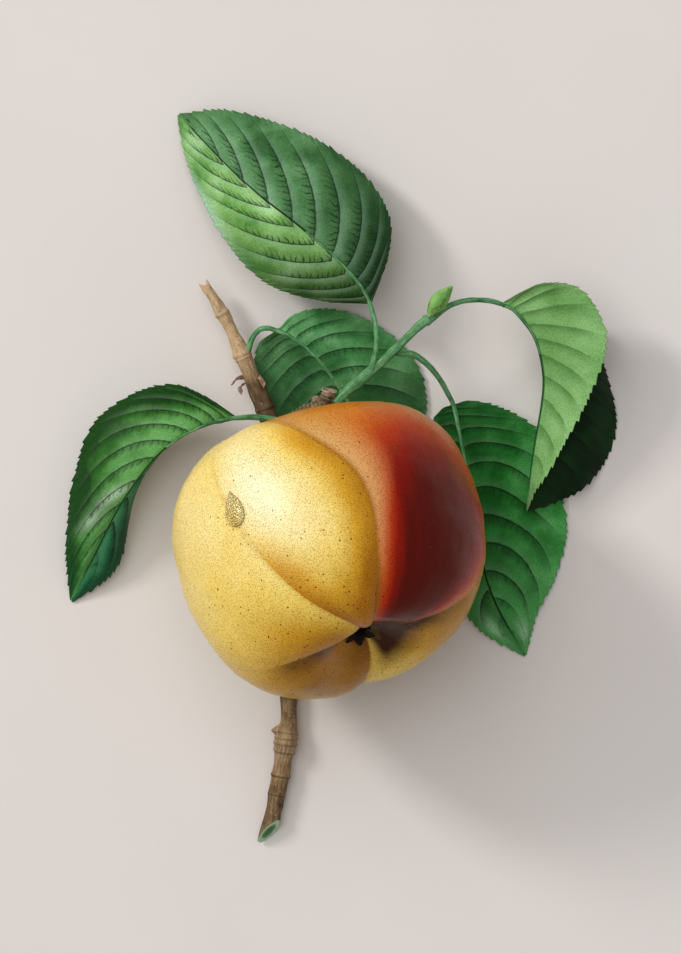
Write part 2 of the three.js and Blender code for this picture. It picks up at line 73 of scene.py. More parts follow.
def add_camera():
    data = bpy.data.cameras.new("camera")
    data.lens = LENS
    data.sensor_width = SENSOR
    camera = bpy.data.objects.new("camera", data)
    bpy.context.scene.collection.objects.link(camera)
    distance = VIEW_HEIGHT * LENS / SENSOR
    camera.location = (VIEW_CENTRE[0] * MM, VIEW_CENTRE[1] * MM, (VIEW_LEVEL + distance) * MM)
    data.clip_start = CLIP_START
    data.clip_end = CLIP_END
    bpy.context.scene.camera = camera


def add_softbox(name, toward, distance, size, power, colour):
    data = bpy.data.lights.new(name, "AREA")
    data.shape = "RECTANGLE"
    data.size, data.size_y = size
    data.energy = power
    data.color = colour
    light = bpy.data.objects.new(name, data)
    bpy.context.scene.collection.objects.link(light)
    middle = Vector(LIGHT_TARGET)
    light.location = middle + Vector(toward).normalized() * distance
    look_at(light, middle)
    light.visible_camera = False


def add_lights():
    for name, settings in SOFTBOXES.items():
        add_softbox(name, *settings)
    world = bpy.data.worlds.new("studio")
    world.use_nodes = True
    background = world.node_tree.nodes["Background"]
    background.inputs["Color"].default_value = WORLD_COLOUR
    background.inputs["Strength"].default_value = WORLD_STRENGTH
    bpy.context.scene.world = world
    view = bpy.context.scene.view_settings
    view.view_transform = "Standard"
    view.look = "None"


# ---- numbers and curves -------------------------------------------------------------------------
RIPPLE_WAVES = 16


def spline(points, share):
    """Points on the uniform Catmull-Rom curve through points, at shares of the way along it."""
    known = np.array(points, float)
    if known.ndim == 1:
        known = known[:, None]
    spans = len(known) - 1
    ends = np.vstack([2 * known[0] - known[1], known, 2 * known[-1] - known[-2]])
    place = np.clip(np.asarray(share, float), 0, 1) * spans
    first = np.minimum(place.astype(int), spans - 1)
    f = (place - first)[..., None]
    a, b, c, d = (ends[first + k] for k in range(4))
    square = (2 * a - 5 * b + 4 * c - d) * f**2
    cube = (3 * b - a - 3 * c + d) * f**3
    return 0.5 * (2 * b + (c - a) * f + square + cube)


def smooth(value, low, high):
    f = np.clip((np.asarray(value, float) - low) / (high - low), 0, 1)
    return f * f * (3 - 2 * f)


def bell(value, middle, width):
    return np.exp(-(((np.asarray(value, float) - middle) / width) ** 2))


def unit(vectors):
    length = np.linalg.norm(vectors, axis=-1, keepdims=True)
    return vectors / np.maximum(length, 1e-12)


def ripple(points, size, seed):
    """Smooth noise between about -1 and 1, whose bumps are about size across."""
    draw = np.random.default_rng(seed)
    total = 0.0
    for _ in range(RIPPLE_WAVES):
        wave = unit(draw.normal(size=3)) * draw.uniform(0.7, 1.4) * math.pi / size
        total = total + np.sin(points @ wave + draw.uniform(0, 2 * math.pi))
    return total / math.sqrt(2.0 * RIPPLE_WAVES)


def srgb(colour):
    """The linear colour that shaders take, for three 0-255 screen values. Four values are linear already."""
    if len(colour) == 4:
        return colour
    channels = [c / 255 for c in colour]
    linear = [c / 12.92 if c <= 0.04045 else ((c + 0.055) / 1.055) ** 2.4 for c in channels]
    return (*linear, 1.0)


# ---- closed bodies ------------------------------------------------------------------------------
class Body:
    """A closed skin of rings between two end points, with numbers painted on its corners."""

    def __init__(self, rings, start=None, end=None, paint=None):
        count, sides = rings.shape[:2]
        start = rings[0].mean(0) if start is None else start
        end = rings[-1].mean(0) if end is None else end
        self.points = np.vstack([start, rings.reshape(-1, 3), end])
        self.paint = {}
        for key, values in (paint or {}).items():
            grid = np.broadcast_to(values, (count, sides))
            self.paint[key] = np.concatenate([[grid[0].mean()], grid.ravel(), [grid[-1].mean()]])
        ring = np.arange(sides)
        after = (ring + 1) % sides
        first = 1 + np.arange(count - 1)[:, None] * sides
        quads = np.stack([first + ring, first + after, first + sides + after, first + sides + ring], -1)
        last = 1 + (count - 1) * sides
        self.faces = [
            *np.stack([np.zeros(sides, int), after + 1, ring + 1], -1).tolist(),
            *quads.reshape(-1, 4).tolist(),
            *np.stack([np.full(sides, last + sides), last + ring, last + after], -1).tolist(),
        ]
        if self.volume() < 0:
            self.faces = [face[::-1] for face in self.faces]

    def volume(self):
        a, b, c = (self.points[[face[k] for face in self.faces]] for k in range(3))
        total = np.einsum("ij,ij->i", a, np.cross(b, c)).sum()
        fourth = [face for face in self.faces if len(face) == 4]
        a, b, c = (self.points[[face[k] for face in fourth]] for k in (0, 2, 3))
        return (total + np.einsum("ij,ij->i", a, np.cross(b, c)).sum()) / 6


def add_piece(name, bodies, materials, replaces=()):
    """One mesh object made of closed bodies, each with its own material."""
    points = np.vstack([body.points for body in bodies])
    points[:, 2] = np.maximum(points[:, 2], 0)  # nothing sinks into the surface that it lies on
    faces = []
    indices = []
    offset = 0
    for index, body in enumerate(bodies):
        faces += [[corner + offset for corner in face] for face in body.faces]
        indices += [min(index, len(materials) - 1)] * len(body.faces)
        offset += len(body.points)
    mesh = bpy.data.meshes.new(name)
    mesh.from_pydata((points * MM).tolist(), [], faces)
    for material in materials:
        mesh.materials.append(material)
    mesh.polygons.foreach_set("material_index", indices)
    mesh.shade_smooth()
    for key in sorted({key for body in bodies for key in body.paint}):
        empty = [np.zeros(len(body.points)) for body in bodies]
        values = np.concatenate([body.paint.get(key, none) for body, none in zip(bodies, empty)])
        layer = mesh.attributes.new(key, "FLOAT", "POINT")
        layer.data.foreach_set("value", values.astype(np.float32))
    mesh.update()
    piece = bpy.data.objects.new(name, mesh)
    bpy.context.scene.collection.objects.link(piece)
    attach(piece, BODY)
    if replaces:
        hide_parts(*replaces)


def sweep(points, sides, steps):
    """Rings of unit spokes along a curve through [x, y, z, radius] points.

    Gives the rings' centres, radii, spokes, tangents and distances along, and the spokes' angles.
    """
    share = np.linspace(0, 1, steps + 1)
    line = spline(points, share)
    centre = line[:, :3]
    tangent = unit(np.gradient(centre, axis=0))
    side = unit(np.cross(ZENITH, tangent))
    up = np.cross(tangent, side)
    angle = np.linspace(0, 2 * math.pi, sides, endpoint=False)
    spoke = np.cos(angle)[None, :, None] * side[:, None] + np.sin(angle)[None, :, None] * up[:, None]
    steps_mm = np.linalg.norm(np.diff(centre, axis=0), axis=1)
    distance = np.concatenate([[0], np.cumsum(steps_mm)])
    return centre, line[:, 3], spoke, tangent, distance, angle


def tube_body(points, sides, steps, relief=None):
    """A closed round tube. relief(points of the skin, distance, angle) says how far to raise it."""
    centre, radius, spoke, _, distance, angle = sweep(points, sides, steps)
    rings = centre[:, None] + spoke * radius[:, None, None]
    if relief is not None:
        rings = rings + spoke * relief(rings, distance[:, None], angle[None, :])[..., None]
    marks = {
        "along": distance[:, None],
        "turn_x": np.cos(angle) * radius[:, None],
        "turn_y": np.sin(angle) * radius[:, None],
    }
    return Body(rings, paint=marks)


def extended(values, after, last, before=0, first=0.0):
    """A column of values along a tube, with fixed values on the rings before and after it."""
    return np.concatenate([[first] * before, values, [last] * after])[:, None]


# ---- shaders ------------------------------------------------------------------------------------
WHITE = (1.0, 1.0, 1.0, 1.0)


class Shader:
    """A material whose nodes are added one call at a time."""

    def __init__(self, name, roughness=0.5, **settings):
        self.material = bpy.data.materials.new(name)
        self.material.use_nodes = True
        self.tree = self.material.node_tree
        self.surface = self.tree.nodes["Principled BSDF"]
        self.surface.inputs["Roughness"].default_value = roughness
        for key, value in settings.items():
            self.surface.inputs[key.replace("_", " ")].default_value = value
        self.place = self.node("ShaderNodeTexCoord").outputs["Object"]

    def node(self, kind, **settings):
        made = self.tree.nodes.new(kind)
        for key, value in settings.items():
            setattr(made, key, value)
        return made

    def feed(self, socket, value):
        if isinstance(value, bpy.types.NodeSocket):
            self.tree.links.new(value, socket)
        else:
            socket.default_value = srgb(value) if isinstance(value, tuple) else value

    def painted(self, name):
        return self.node("ShaderNodeAttribute", attribute_name=name).outputs["Fac"]

    def math(self, operation, a, b=0.0):
        made = self.node("ShaderNodeMath", operation=operation)
        self.feed(made.inputs[0], a)
        self.feed(made.inputs[1], b)
        return made.outputs[0]

    def times(self, *values):
        total = values[0]
        for value in values[1:]:
            total = self.math("MULTIPLY", total, value)
        return total

    def plus(self, *values):
        total = values[0]
        for value in values[1:]:
            total = self.math("ADD", total, value)
        return total

    def step(self, value, low, high, bottom=0.0, top=1.0):
        """Goes smoothly from bottom to top as value goes from low to high."""
        made = self.node("ShaderNodeMapRange", interpolation_type="SMOOTHSTEP")
        for index, number in enumerate((value, low, high, bottom, top)):
            self.feed(made.inputs[index], number)
        return made.outputs[0]

    def mix(self, factor, a, b, blend="MIX"):
        made = self.node("ShaderNodeMix", data_type="RGBA", blend_type=blend, clamp_factor=True)
        self.feed(made.inputs["Factor"], factor)
        self.feed(made.inputs[6], a)
        self.feed(made.inputs[7], b)
        return made.outputs[2]

    def ramp(self, value, *stops):
        made = self.node("ShaderNodeValToRGB")
        elements = made.color_ramp.elements
        while len(elements) < len(stops):
            elements.new(0.5)
        for element, (position, colour) in zip(elements, stops):
            element.position = position
            element.color = srgb(colour)
        self.feed(made.inputs[0], value)
        return made.outputs[0]

    def vector(self, x, y, z=0.0):
        made = self.node("ShaderNodeCombineXYZ")
        for socket, value in zip(made.inputs, (x, y, z)):
            self.feed(socket, value)
        return made.outputs[0]

    def noise(self, size, detail=2.0, place=None, roughness=0.5):
        """Noise with bumps about size across, in the units of place (metres for the object's own)."""
        made = self.node("ShaderNodeTexNoise")
        self.feed(made.inputs["Vector"], place or self.place)
        made.inputs["Scale"].default_value = 1 / size
        made.inputs["Detail"].default_value = detail
        made.inputs["Roughness"].default_value = roughness
        return made.outputs[0]

    def cells(self, size):
        """Distance from the middle of cells about size across, and a random number for each."""
        made = self.node("ShaderNodeTexVoronoi")
        self.feed(made.inputs["Vector"], self.place)
        made.inputs["Scale"].default_value = 1 / size
        chance = self.node("ShaderNodeSeparateColor")
        self.feed(chance.inputs[0], made.outputs["Color"])
        return made.outputs["Distance"], chance.outputs[0]

    def speckled(self, colour, grain, low, high, tint, strength):
        """Multiplies colour by tint where grain is low."""
        shade = self.ramp(grain, (low, tint), (high, WHITE))
        return self.mix(strength, colour, shade, "MULTIPLY")

    def dull(self, level):
        self.surface.inputs["Specular IOR Level"].default_value = level

    def finish(self, colour, roughness=None, height=None, depth=0.0001):
        self.feed(self.surface.inputs["Base Color"], colour)
        if roughness is not None:
            self.feed(self.surface.inputs["Roughness"], roughness)
        if height is not None:
            bump = self.node("ShaderNodeBump")
            bump.inputs["Distance"].default_value = depth
            self.feed(bump.inputs["Height"], height)
            self.feed(self.surface.inputs["Normal"], bump.outputs[0])
        return self.material


# ---- the fruit ----------------------------------------------------------------------------------
FRUIT_CENTRE = np.array([0.6, 0, 42.2])
CORE = unit(np.array([0.3066, -0.8097, 0.5]))
CORE_SIDE = unit(np.array([-0.935, -0.354, 0.0]))
CORE_TOP = unit(np.cross(CORE_SIDE, CORE))
# Half section from the calyx to the stalk: [distance from the core, height, depth of the creases]
FRUIT_SECTION = [
    [0, 26.3, 0], [3.5, 26.6, 0.3], [7, 29.2, 1], [11, 32.4, 2], [16, 34.5, 2.7],
    [23, 33.2, 2.6], [31.5, 27.2, 1.9], [37.6, 16.8, 1.3], [40.7, 4, 1.1], [41.1, -8.5, 0.9],
    [38.8, -20.5, 0.7], [32.2, -29, 0.6], [23.5, -33.4, 0.8], [15.5, -32.6, 1], [8, -28.5, 0.8],
    [3, -23.5, 0.3], [0, -22, 0],
]
# Lobes: degrees round the core of the crease where each starts and how deep that crease is, both at
# even rows from calyx to stalk, and how full the lobe is towards the calyx and towards the stalk.
# In order, the lobes are the left, bottom, lower, cheek and middle one.
LOBE_COUNT = 5
CREASE_LINES = [
    [0, 2, 7, 25, 34, 37, 38, 38, 38], [30, 33, 50, 84, 100, 102, 100, 100, 100],
    [195, 180, 167, 163, 162, 163, 164, 165, 166], [268, 280, 282, 266, 256, 250, 246, 243, 240],
    [350, 348, 346, 343, 342, 361, 377, 382, 384],
]
CREASE_STRENGTHS = [
    [0.2, 0.35, 0.55, 0.2, 0.3], [0.3, 0.3, 0.05, 0.05, 0.2], [1.4, 1.5, 0.9, 0.5, 0.8],
    [1.1, 1.2, 1, 0.7, 0.8], [0.5, 0.9, 1.6, 1.2, 0.9],
]
CALYX_FULL = np.array([0.5, 0.2, -2.6, -0.6, 0])
STALK_FULL = np.array([1.2, 1.5, -0.6, -0.2, -0.5])
CREASE_SHARPNESS = 2.8
CREASE_SOFTNESS = 0.045  # rounds the bottom of each crease
LOBE_ROUNDNESS = 2.2
FRUIT_LEAN = 2
SHOULDER_DROP = {"height": 5, "azimuth": -25, "narrowness": 2.5}
FLANK_BULGE = {"height": 2.8, "azimuth": 94, "narrowness": 10}
FLANK_ROW = 0.42
FLANK_REACH = 0.32
FRUIT_ROWS = 244
LOBE_COLUMNS = 77
ROW_STEP = 0.002  # for slopes along the section


def from_core(height, top, side):
    """The point this far along the fruit's core and away from it, upwards and to the side."""
    return FRUIT_CENTRE + height * CORE + top * CORE_TOP + side * CORE_SIDE


def at_crease(curves, lobe, row):
    """What the curve of the crease that starts each lobe gives on a row."""
    values = [spline(curve, row)[..., 0] for curve in curves]
    return np.choose(lobe % LOBE_COUNT, values)


def crease_azimuth(lobe, row):
    return at_crease(CREASE_LINES, lobe, row) + np.where(lobe >= LOBE_COUNT, 360, 0)


def sided_height(azimuth, height, narrowness, middle):
    return height * np.maximum(0, np.cos(azimuth - math.radians(middle))) ** narrowness


def skin(lobe, share, row, lift=0.0):
    """The fruit's skin at a share of the way across a lobe, on a row from calyx (0) to stalk (1)."""
    start = crease_azimuth(lobe, row)
    azimuth = np.radians(start + (crease_azimuth(lobe + 1, row) - start) * share)
    section = spline(FRUIT_SECTION, row)
    along = spline(FRUIT_SECTION, row + ROW_STEP) - spline(FRUIT_SECTION, row - ROW_STEP)
    tangent = unit(along[..., :2])
    edge = np.maximum(0, 1 - np.hypot(1 - np.abs(2 * share - 1), CREASE_SOFTNESS))
    start_strength = at_crease(CREASE_STRENGTHS, lobe, row)
    strengths = start_strength + (at_crease(CREASE_STRENGTHS, lobe + 1, row) - start_strength) * share
    blend = smooth(row, 0.48, 0.78)
    full = CALYX_FULL[lobe] * (1 - blend) + STALK_FULL[lobe] * blend
    swell = full * (1 - edge**LOBE_ROUNDNESS) * np.sin(math.pi * row)
    near_flank = 1 - smooth(np.abs(row - FLANK_ROW), 0, FLANK_REACH)
    bulge = near_flank * sided_height(
        azimuth, FLANK_BULGE["height"], FLANK_BULGE["narrowness"], FLANK_BULGE["azimuth"])
    rise = lift + swell + bulge - section[..., 2] * strengths * edge**CREASE_SHARPNESS
    near_shoulder = smooth(row, 0.5, 0.8) * (1 - smooth(row, 0.86, 1))
    drop = near_shoulder * sided_height(
        azimuth, SHOULDER_DROP["height"], SHOULDER_DROP["narrowness"], SHOULDER_DROP["azimuth"])
    radius = section[..., 0] - rise * tangent[..., 1]
    height = section[..., 1] + rise * tangent[..., 0] + drop
    aside = radius * np.sin(azimuth) - FRUIT_LEAN * np.sin(math.pi * row) ** 2
    upward = radius * np.cos(azimuth)
    return from_core(height[..., None], upward[..., None], aside[..., None])


def skin_at(azimuth, row, lift):
    """The skin at azimuths in degrees."""
    turned = np.where(azimuth < crease_azimuth(np.array(0), row), azimuth + 360, azimuth)
    lobe = sum((turned >= crease_azimuth(np.array(k), row)).astype(int) for k in range(1, LOBE_COUNT))
    start = crease_azimuth(lobe, row)
    share = (turned - start) / (crease_azimuth(lobe + 1, row) - start)
    return skin(lobe, share, row, lift)


def fruit_paint(lobe, share, row):
    """Where the fruit is red, creamy, golden, brown, pale or freckled, each from 0 to 1.

    Some of it is painted light and shade: the cream band is partly a painted highlight, the gold partly
    painted shading, the brown partly painted shade near the calyx and in its creases, the pale patch a
    painted highlight and the crease mark painted shade.
    """
    left, bottom, lower, cheek, middle = (lobe == index for index in range(LOBE_COUNT))
    edge = np.abs(2 * share - 1)
    reach = 0.06 * bell(share, 0.6, 0.25)
    stalk_end = 1 - smooth(row - reach, 0.4, 0.6)
    across = smooth(share, -0.05, 0.42) * (1 - 0.78 * smooth(share, 0.76, 1.0))
    red = cheek * across * (0.06 + 0.94 * stalk_end)
    crease_b = smooth(share, 0.9 - 0.14 * smooth(row, 0.42, 0.56), 1)
    # cream band on the cheek beside crease b, partly the skin's own colour and partly a painted highlight on
    # the crease's rim
    cream = cheek * crease_b * smooth(row, 0.3, 0.5) * (1 - smooth(row, 0.56, 0.68))
    low = 1 - smooth(row, 0.22, 0.5)
    # golden ground colour and painted shading: deeper gold away from the highlight, towards the calyx and
    # along the creases, paler on the left lobe beside crease a
    gold = 0.18 + 0.76 * low * (left | bottom) + 0.55 * low * middle
    gold = gold - 0.45 * left * (1 - smooth(share, 0, 0.5)) * low
    gold = gold + 0.65 * middle * (1 - smooth(share, 0, 0.42)) * (1 - 0.6 * smooth(row, 0.56, 0.66))
    gold = gold + 0.45 * middle * smooth(share, 0.6, 1) * (1 - smooth(row, 0.42, 0.52))
    gold = gold + 0.5 * middle * (1 - smooth(row, 0.3, 0.42)) * (1 - smooth(share, 0.3, 1))
    gold = gold + lower * (0.24 + 0.4 * smooth(share, 0.35, 0.75)) + 0.7 * cheek
    # brown flush and painted shade: dark brown on the lower lobe near the calyx and beside creases d and c
    flush = lower * smooth(share, 0.0, 0.24) * (1 - smooth(row, 0.14, 0.26))
    flush = flush + lower * smooth(share, 0.75, 1.0) * (1 - smooth(row, 0.26, 0.42)) * 0.9
    # painted shade in a crescent along crease e on the bottom lobe; the bottom lobe is also brown near the
    # calyx
    crescent_shade = (1 - smooth(share, 0, 0.3)) * smooth(row, 0.1, 0.17) * (1 - smooth(row, 0.3, 0.38))
    flush = flush + bottom * crescent_shade * 0.8
    flush = flush + bottom * smooth(share, 0.3, 0.95) * (1 - smooth(row, 0.12, 0.27)) * 0.55
    flush = flush + bottom * bell(row, 0.28, 0.06) * smooth(share, 0.05, 0.4) * 0.35
    start_strength = at_crease(CREASE_STRENGTHS, lobe, row)
    end_strength = at_crease(CREASE_STRENGTHS, lobe + 1, row)
    # painted shade: darker brown along each crease, the more the deeper the crease
    crease = smooth(edge, 0.93, 1.0) * np.where(share < 0.5, start_strength, end_strength)
    freckle = 0.25 + 0.75 * ~cheek * (1 - smooth(row, 0.34, 0.6))
    hollow = 1 - smooth(row, 0.02, 0.12) + smooth(row, 0.86, 0.97)
    # painted highlight: a pale cream patch on the middle lobe, where the key light's highlight falls
    pale = middle * bell(row, 0.54, 0.08) * bell(share, 0.7, 0.25)
    marks = {"red": red, "cream": cream, "gold": gold, "flush": flush, "pale": pale}
    marks = {key: np.clip(value, 0, 1) for key, value in marks.items()}
    marks.update(crease=crease, freckle=freckle, hollow=hollow)
    return marks


def skin_material():
    s = Shader("apple_skin", roughness=0.3, Specular_Tint=(1.0, 0.88, 0.6, 1.0))
    s.dull(0.24)
    mottle = s.noise(0.006, 3)
    blotch = s.noise(0.02, 2)
    # golden ground colour with painted shading
    gold_and_shading_at = s.plus(s.painted("gold"), s.times(s.plus(blotch, -0.5), 0.4))
    colour = s.ramp(
        gold_and_shading_at, (0.0, (246, 231, 166)), (0.3, (237, 208, 104)), (0.6, (216, 164, 44)),
        (1.0, (180, 114, 10)))
    # painted highlight: the pale cream patch on the middle lobe
    colour = s.mix(s.times(s.painted("pale"), 0.85), colour, (255, 250, 214))
    # brown flush and painted shade near the calyx and in its creases
    flush_and_shade_at = s.times(s.painted("flush"), s.step(mottle, 0.25, 0.7, 0.8, 1.1))
    colour = s.mix(flush_and_shade_at, colour, (60, 22, 2))
    streak_place = s.vector(s.times(s.painted("azimuth"), 0.3), s.times(s.painted("row"), 3.2))
    streak = s.noise(1.0, 3, streak_place)
    red_at = s.plus(s.painted("red"), s.times(s.plus(streak, -0.5), s.painted("red"), 0.4))
    red = s.ramp(
        red_at, (0.0, (206, 132, 22)), (0.14, (204, 106, 18)), (0.36, (186, 54, 8)),
        (0.62, (140, 12, 0)), (0.97, (90, 0, 0)))
    colour = s.mix(s.step(s.painted("red"), 0.0, 0.06), colour, red)
    # cream band beside crease b, partly a painted highlight
    colour = s.mix(s.times(s.painted("cream"), 0.7), colour, (222, 184, 124))
    # painted shade along the creases
    colour = s.mix(s.times(s.painted("crease"), 0.35), colour, (150, 92, 22))
    colour = s.mix(s.times(s.step(s.painted("hollow"), 0.2, 1.0), 0.85), colour, (84, 56, 14))
    grain = s.noise(0.00032, 2)
    colour = s.speckled(colour, grain, 0.36, 0.53, (0.5, 0.38, 0.2, 1.0), 0.8)
    far, chance = s.cells(0.0021)
    chosen = s.step(s.plus(chance, s.painted("freckle")), 1.05, 1.07)
    dot = s.times(s.step(far, 0.08, 0.16, 1.0, 0.0), chosen)
    colour = s.mix(s.times(dot, 0.85), colour, (66, 40, 12))
    rough = s.step(s.noise(0.0011, 2), 0.3, 0.7, 0.27, 0.36)
    pores = s.plus(s.times(grain, 0.35), s.times(mottle, 0.8), s.times(dot, -0.6))
    return s.finish(colour, rough, pores, 0.00012)


def add_fruit():
    row_at = np.linspace(0, 1, FRUIT_ROWS + 1)[1:-1]
    column = np.arange(LOBE_COUNT * LOBE_COLUMNS)
    lobe = np.broadcast_to(column // LOBE_COLUMNS, (len(row_at), len(column)))
    share = np.broadcast_to(column % LOBE_COLUMNS / LOBE_COLUMNS, lobe.shape)
    row = np.broadcast_to(row_at[:, None], lobe.shape)
    rings = skin(lobe, share, row)
    outward = unit(rings - FRUIT_CENTRE)
    rings = rings + outward * (0.14 * ripple(rings, 7, 1) + 0.05 * ripple(rings, 2.6, 2))[..., None]
    rings[..., 2] = np.maximum(rings[..., 2], 0)
    paint = fruit_paint(lobe, share, row)
    start, end = crease_azimuth(lobe, row), crease_azimuth(lobe + 1, row)
    paint["row"] = row
    paint["azimuth"] = start + (end - start) * share
    calyx_end, stalk_end = (from_core(FRUIT_SECTION[k][1], 0, 0) for k in (0, -1))
    body = Body(rings, calyx_end, stalk_end, paint)
    add_piece("apple", [body], [skin_material()], ["apple"])


# ---- dried calyx and stalk ----------------------------------------------------------------------
SEPAL_LINE = [[1.2, 26.6], [2.3, 27.2], [3.3, 27.9], [4.3, 28.2]]
SEPAL_WIDTHS = [1.1, 1.5, 1.0, 0.15]
SEPAL_TURN = 0.3
SEPALS_ASIDE = 0.8
STALK_FROM = -22.0
STALK_TO = -40.5
STALK_RADII = [1.25, 1.15, 1.25, 1.7]
STALK_BEND = 1.2
STAMEN_COUNT = 14
STAMEN_TURN = 2.4  # radians from one stamen to the next
STRIP_STEPS = 40
STRIP_COLUMNS = 12
BARK_RELIEF = 0.00025


def strip_body(line, sideways, half_widths, thickness, cup, curl, seed):
    """A thin cupped strip along a line of points, tapering as half_widths says."""
    share = np.linspace(0, 1, STRIP_STEPS + 1)
    centre = spline(line, share)
    tangent = unit(np.gradient(centre, axis=0))
    side = unit(sideways - (tangent @ sideways)[:, None] * tangent)
    face = np.cross(tangent, side)
    width = spline(half_widths, share)[:, 0]
    v = np.linspace(-1, 1, STRIP_COLUMNS + 1)
    flat = centre[:, None] + side[:, None] * (width[:, None] * v)[..., None]
    bend = cup * (v**2)[None, :] + curl * np.sin(7 * share)[:, None] * v[None, :]
    bend = bend + 0.12 * ripple(flat, 1.2, seed)
    thin = thickness * (1 - 0.7 * np.abs(v)[None, :] ** 3) / 2 + 0 * share[:, None]
    above = flat + face[:, None] * (bend + thin)[..., None]
    below = flat + face[:, None] * (bend - thin)[..., None]
    return Body(np.concatenate([above, below[:, ::-1]], axis=1))


def withered_material(name, dark, light):
    s = Shader(name, roughness=0.85)
    s.dull(0.15)
    tone = s.noise(0.0009, 4)
    colour = s.ramp(tone, (0.35, dark), (0.75, light))
    return s.finish(colour, s.step(tone, 0.3, 0.7, 0.7, 0.95), s.noise(0.0003, 3), 0.00012)


def add_calyx():
    material = withered_material("withered_calyx", (12, 8, 5), (52, 34, 18))
    for index in range(5):
        azimuth = (index + SEPAL_TURN) * 2 * math.pi / 5
        outward = math.cos(azimuth) * CORE_TOP + math.sin(azimuth) * CORE_SIDE
        line = [from_core(height, 0, SEPALS_ASIDE) + distance * outward for distance, height in SEPAL_LINE]
        sideways = np.cross(CORE, outward)
        body = strip_body(line, sideways, SEPAL_WIDTHS, 0.35, 0.35, 0.1, index)
        name = f"sepal_{index + 1}"
        add_piece(name, [body], [material], [name])
    stamens = []
    for index in range(STAMEN_COUNT):
        turn = index * STAMEN_TURN
        reach = 0.35 + 0.09 * index
        aside = SEPALS_ASIDE + reach * math.sin(turn)
        foot = from_core(26.2, reach * math.cos(turn), aside)
        lean = turn + 0.3
        head = from_core(28.2, 1.6 * reach * math.cos(lean), aside + 0.6 * reach * math.sin(lean))
        points = [[*(foot + (head - foot) * f), 0.2 - 0.05 * f] for f in (0, 0.4, 0.8, 1.0)]
        stamens.append(tube_body(points, 8, 8))
    add_piece("stamens", stamens, [material])


def bark(name, dark, middle, light, scar):
    """A bark's shader, with the sockets of its colour, roughness and height."""
    s = Shader(name, roughness=0.75)
    s.dull(0.15)
    fibre_place = s.vector(s.times(s.painted("along"), 0.12), s.painted("turn_x"), s.painted("turn_y"))
    fibre = s.noise(0.55, 4, fibre_place, 0.62)
    patch = s.noise(0.004, 3)
    tone = s.plus(s.times(fibre, 0.55), s.times(patch, 0.45))
    colour = s.ramp(tone, (0.34, dark), (0.5, middle), (0.66, light))
    # the dark mark: painted shade on the twig beside the fruit, and darker bark lower down
    colour = s.mix(s.times(s.painted("dark"), 0.65), colour, dark)
    colour = s.mix(s.times(s.painted("ring"), 0.75), colour, dark)
    colour = s.mix(s.times(s.painted("pale"), s.step(fibre, 0.3, 0.6, 0.5, 1.0)), colour, scar)
    far, chance = s.cells(0.0013)
    dot = s.times(s.step(far, 0.15, 0.3, 1.0, 0.0), s.step(chance, 0.62, 0.66))
    colour = s.mix(s.times(dot, 0.6), colour, light)
    grain = s.noise(0.00035, 2)
    colour = s.speckled(colour, grain, 0.3, 0.6, (0.45, 0.42, 0.4, 1.0), 0.55)
    height = s.plus(fibre, s.times(grain, 0.4), s.times(dot, 0.5))
    return s, colour, s.step(grain, 0.3, 0.7, 0.6, 0.85), height


def old_bark_material():
    s, colour, rough, height = bark(
        "old_bark", (52, 42, 30), (120, 106, 80), (164, 150, 120), (206, 182, 160))
    return s.finish(colour, rough, height, BARK_RELIEF)


def stalk_relief(skin_points, distance, _):
    return 0.12 * ripple(skin_points, 1.4, 5) + 0.25 * bell(distance, 17.2, 0.8)


def add_stalk(material):
    points = []
    for index, radius in enumerate(STALK_RADII):
        f = index / (len(STALK_RADII) - 1)
        height = STALK_FROM + (STALK_TO - STALK_FROM) * f
        points.append([*from_core(height, 0, STALK_BEND * math.sin(math.pi * f)), radius])
    add_piece("stalk", [tube_body(points, 40, 110, stalk_relief)], [material], ["stalk"])


# ---- drop of water ------------------------------------------------------------------------------
DROP = {"azimuth": 33, "row": 0.535, "length": 10.8, "width": 6.6, "height": 1.3, "lean": -7}
DROP_FULLNESS = 1.2  # how round the drop is at its thick end
DROP_LIFT = 0.32  # keeps the drop's edge clear of the skin
DROP_SUNK = 1.3  # how far its underside reaches below that edge, into the skin
DROP_ROWS, DROP_COLUMNS = 43, 64


def add_drop():
    latitude = np.linspace(0, math.pi, DROP_ROWS + 1)[1:-1][:, None]
    longitude = np.linspace(0, 2 * math.pi, DROP_COLUMNS, endpoint=False)[None, :]
    y = np.cos(latitude) + 0 * longitude
    x = np.sin(latitude) * np.cos(longitude)
    z = np.sin(latitude) * np.sin(longitude)
    narrow = DROP_FULLNESS * np.sqrt((1 - y) / 2)
    along = y * DROP["length"] / 2
    across = x * narrow * DROP["width"] / 2
    lean = math.radians(DROP["lean"])
    down = -along * math.cos(lean) - across * math.sin(lean)
    aside = along * math.sin(lean) - across * math.cos(lean)
    here = np.array(DROP["row"])
    azimuth = np.array(float(DROP["azimuth"]))
    reach = np.linalg.norm(skin_at(azimuth, here, 0) - FRUIT_CENTRE)
    ends = spline(FRUIT_SECTION, np.array([DROP["row"] - 0.01, DROP["row"] + 0.01]))
    rows_per_mm = 0.02 / np.linalg.norm(ends[1] - ends[0])
    azimuths = azimuth + np.degrees(aside / reach)
    lift = DROP_LIFT + np.maximum(0, z) * DROP["height"] * narrow + DROP_SUNK * np.minimum(0, z)
    rings = skin_at(azimuths, here - down * rows_per_mm, lift)
    # painted shade: a dark brown line round the drop's edge
    rim = bell(z, 0.06, 0.2)
    s = Shader("water", roughness=0.03, IOR=1.33, Transmission_Weight=1.0)
    clear = s.mix(s.noise(0.002, 1), (250, 244, 226), (255, 253, 246))
    # painted shade: the drop's dark brown edge
    material = s.finish(s.mix(s.times(s.painted("rim"), 0.85), clear, (88, 58, 20)))
    add_piece("water_drop", [Body(rings, paint={"rim": rim})], [material], ["water_drop"])


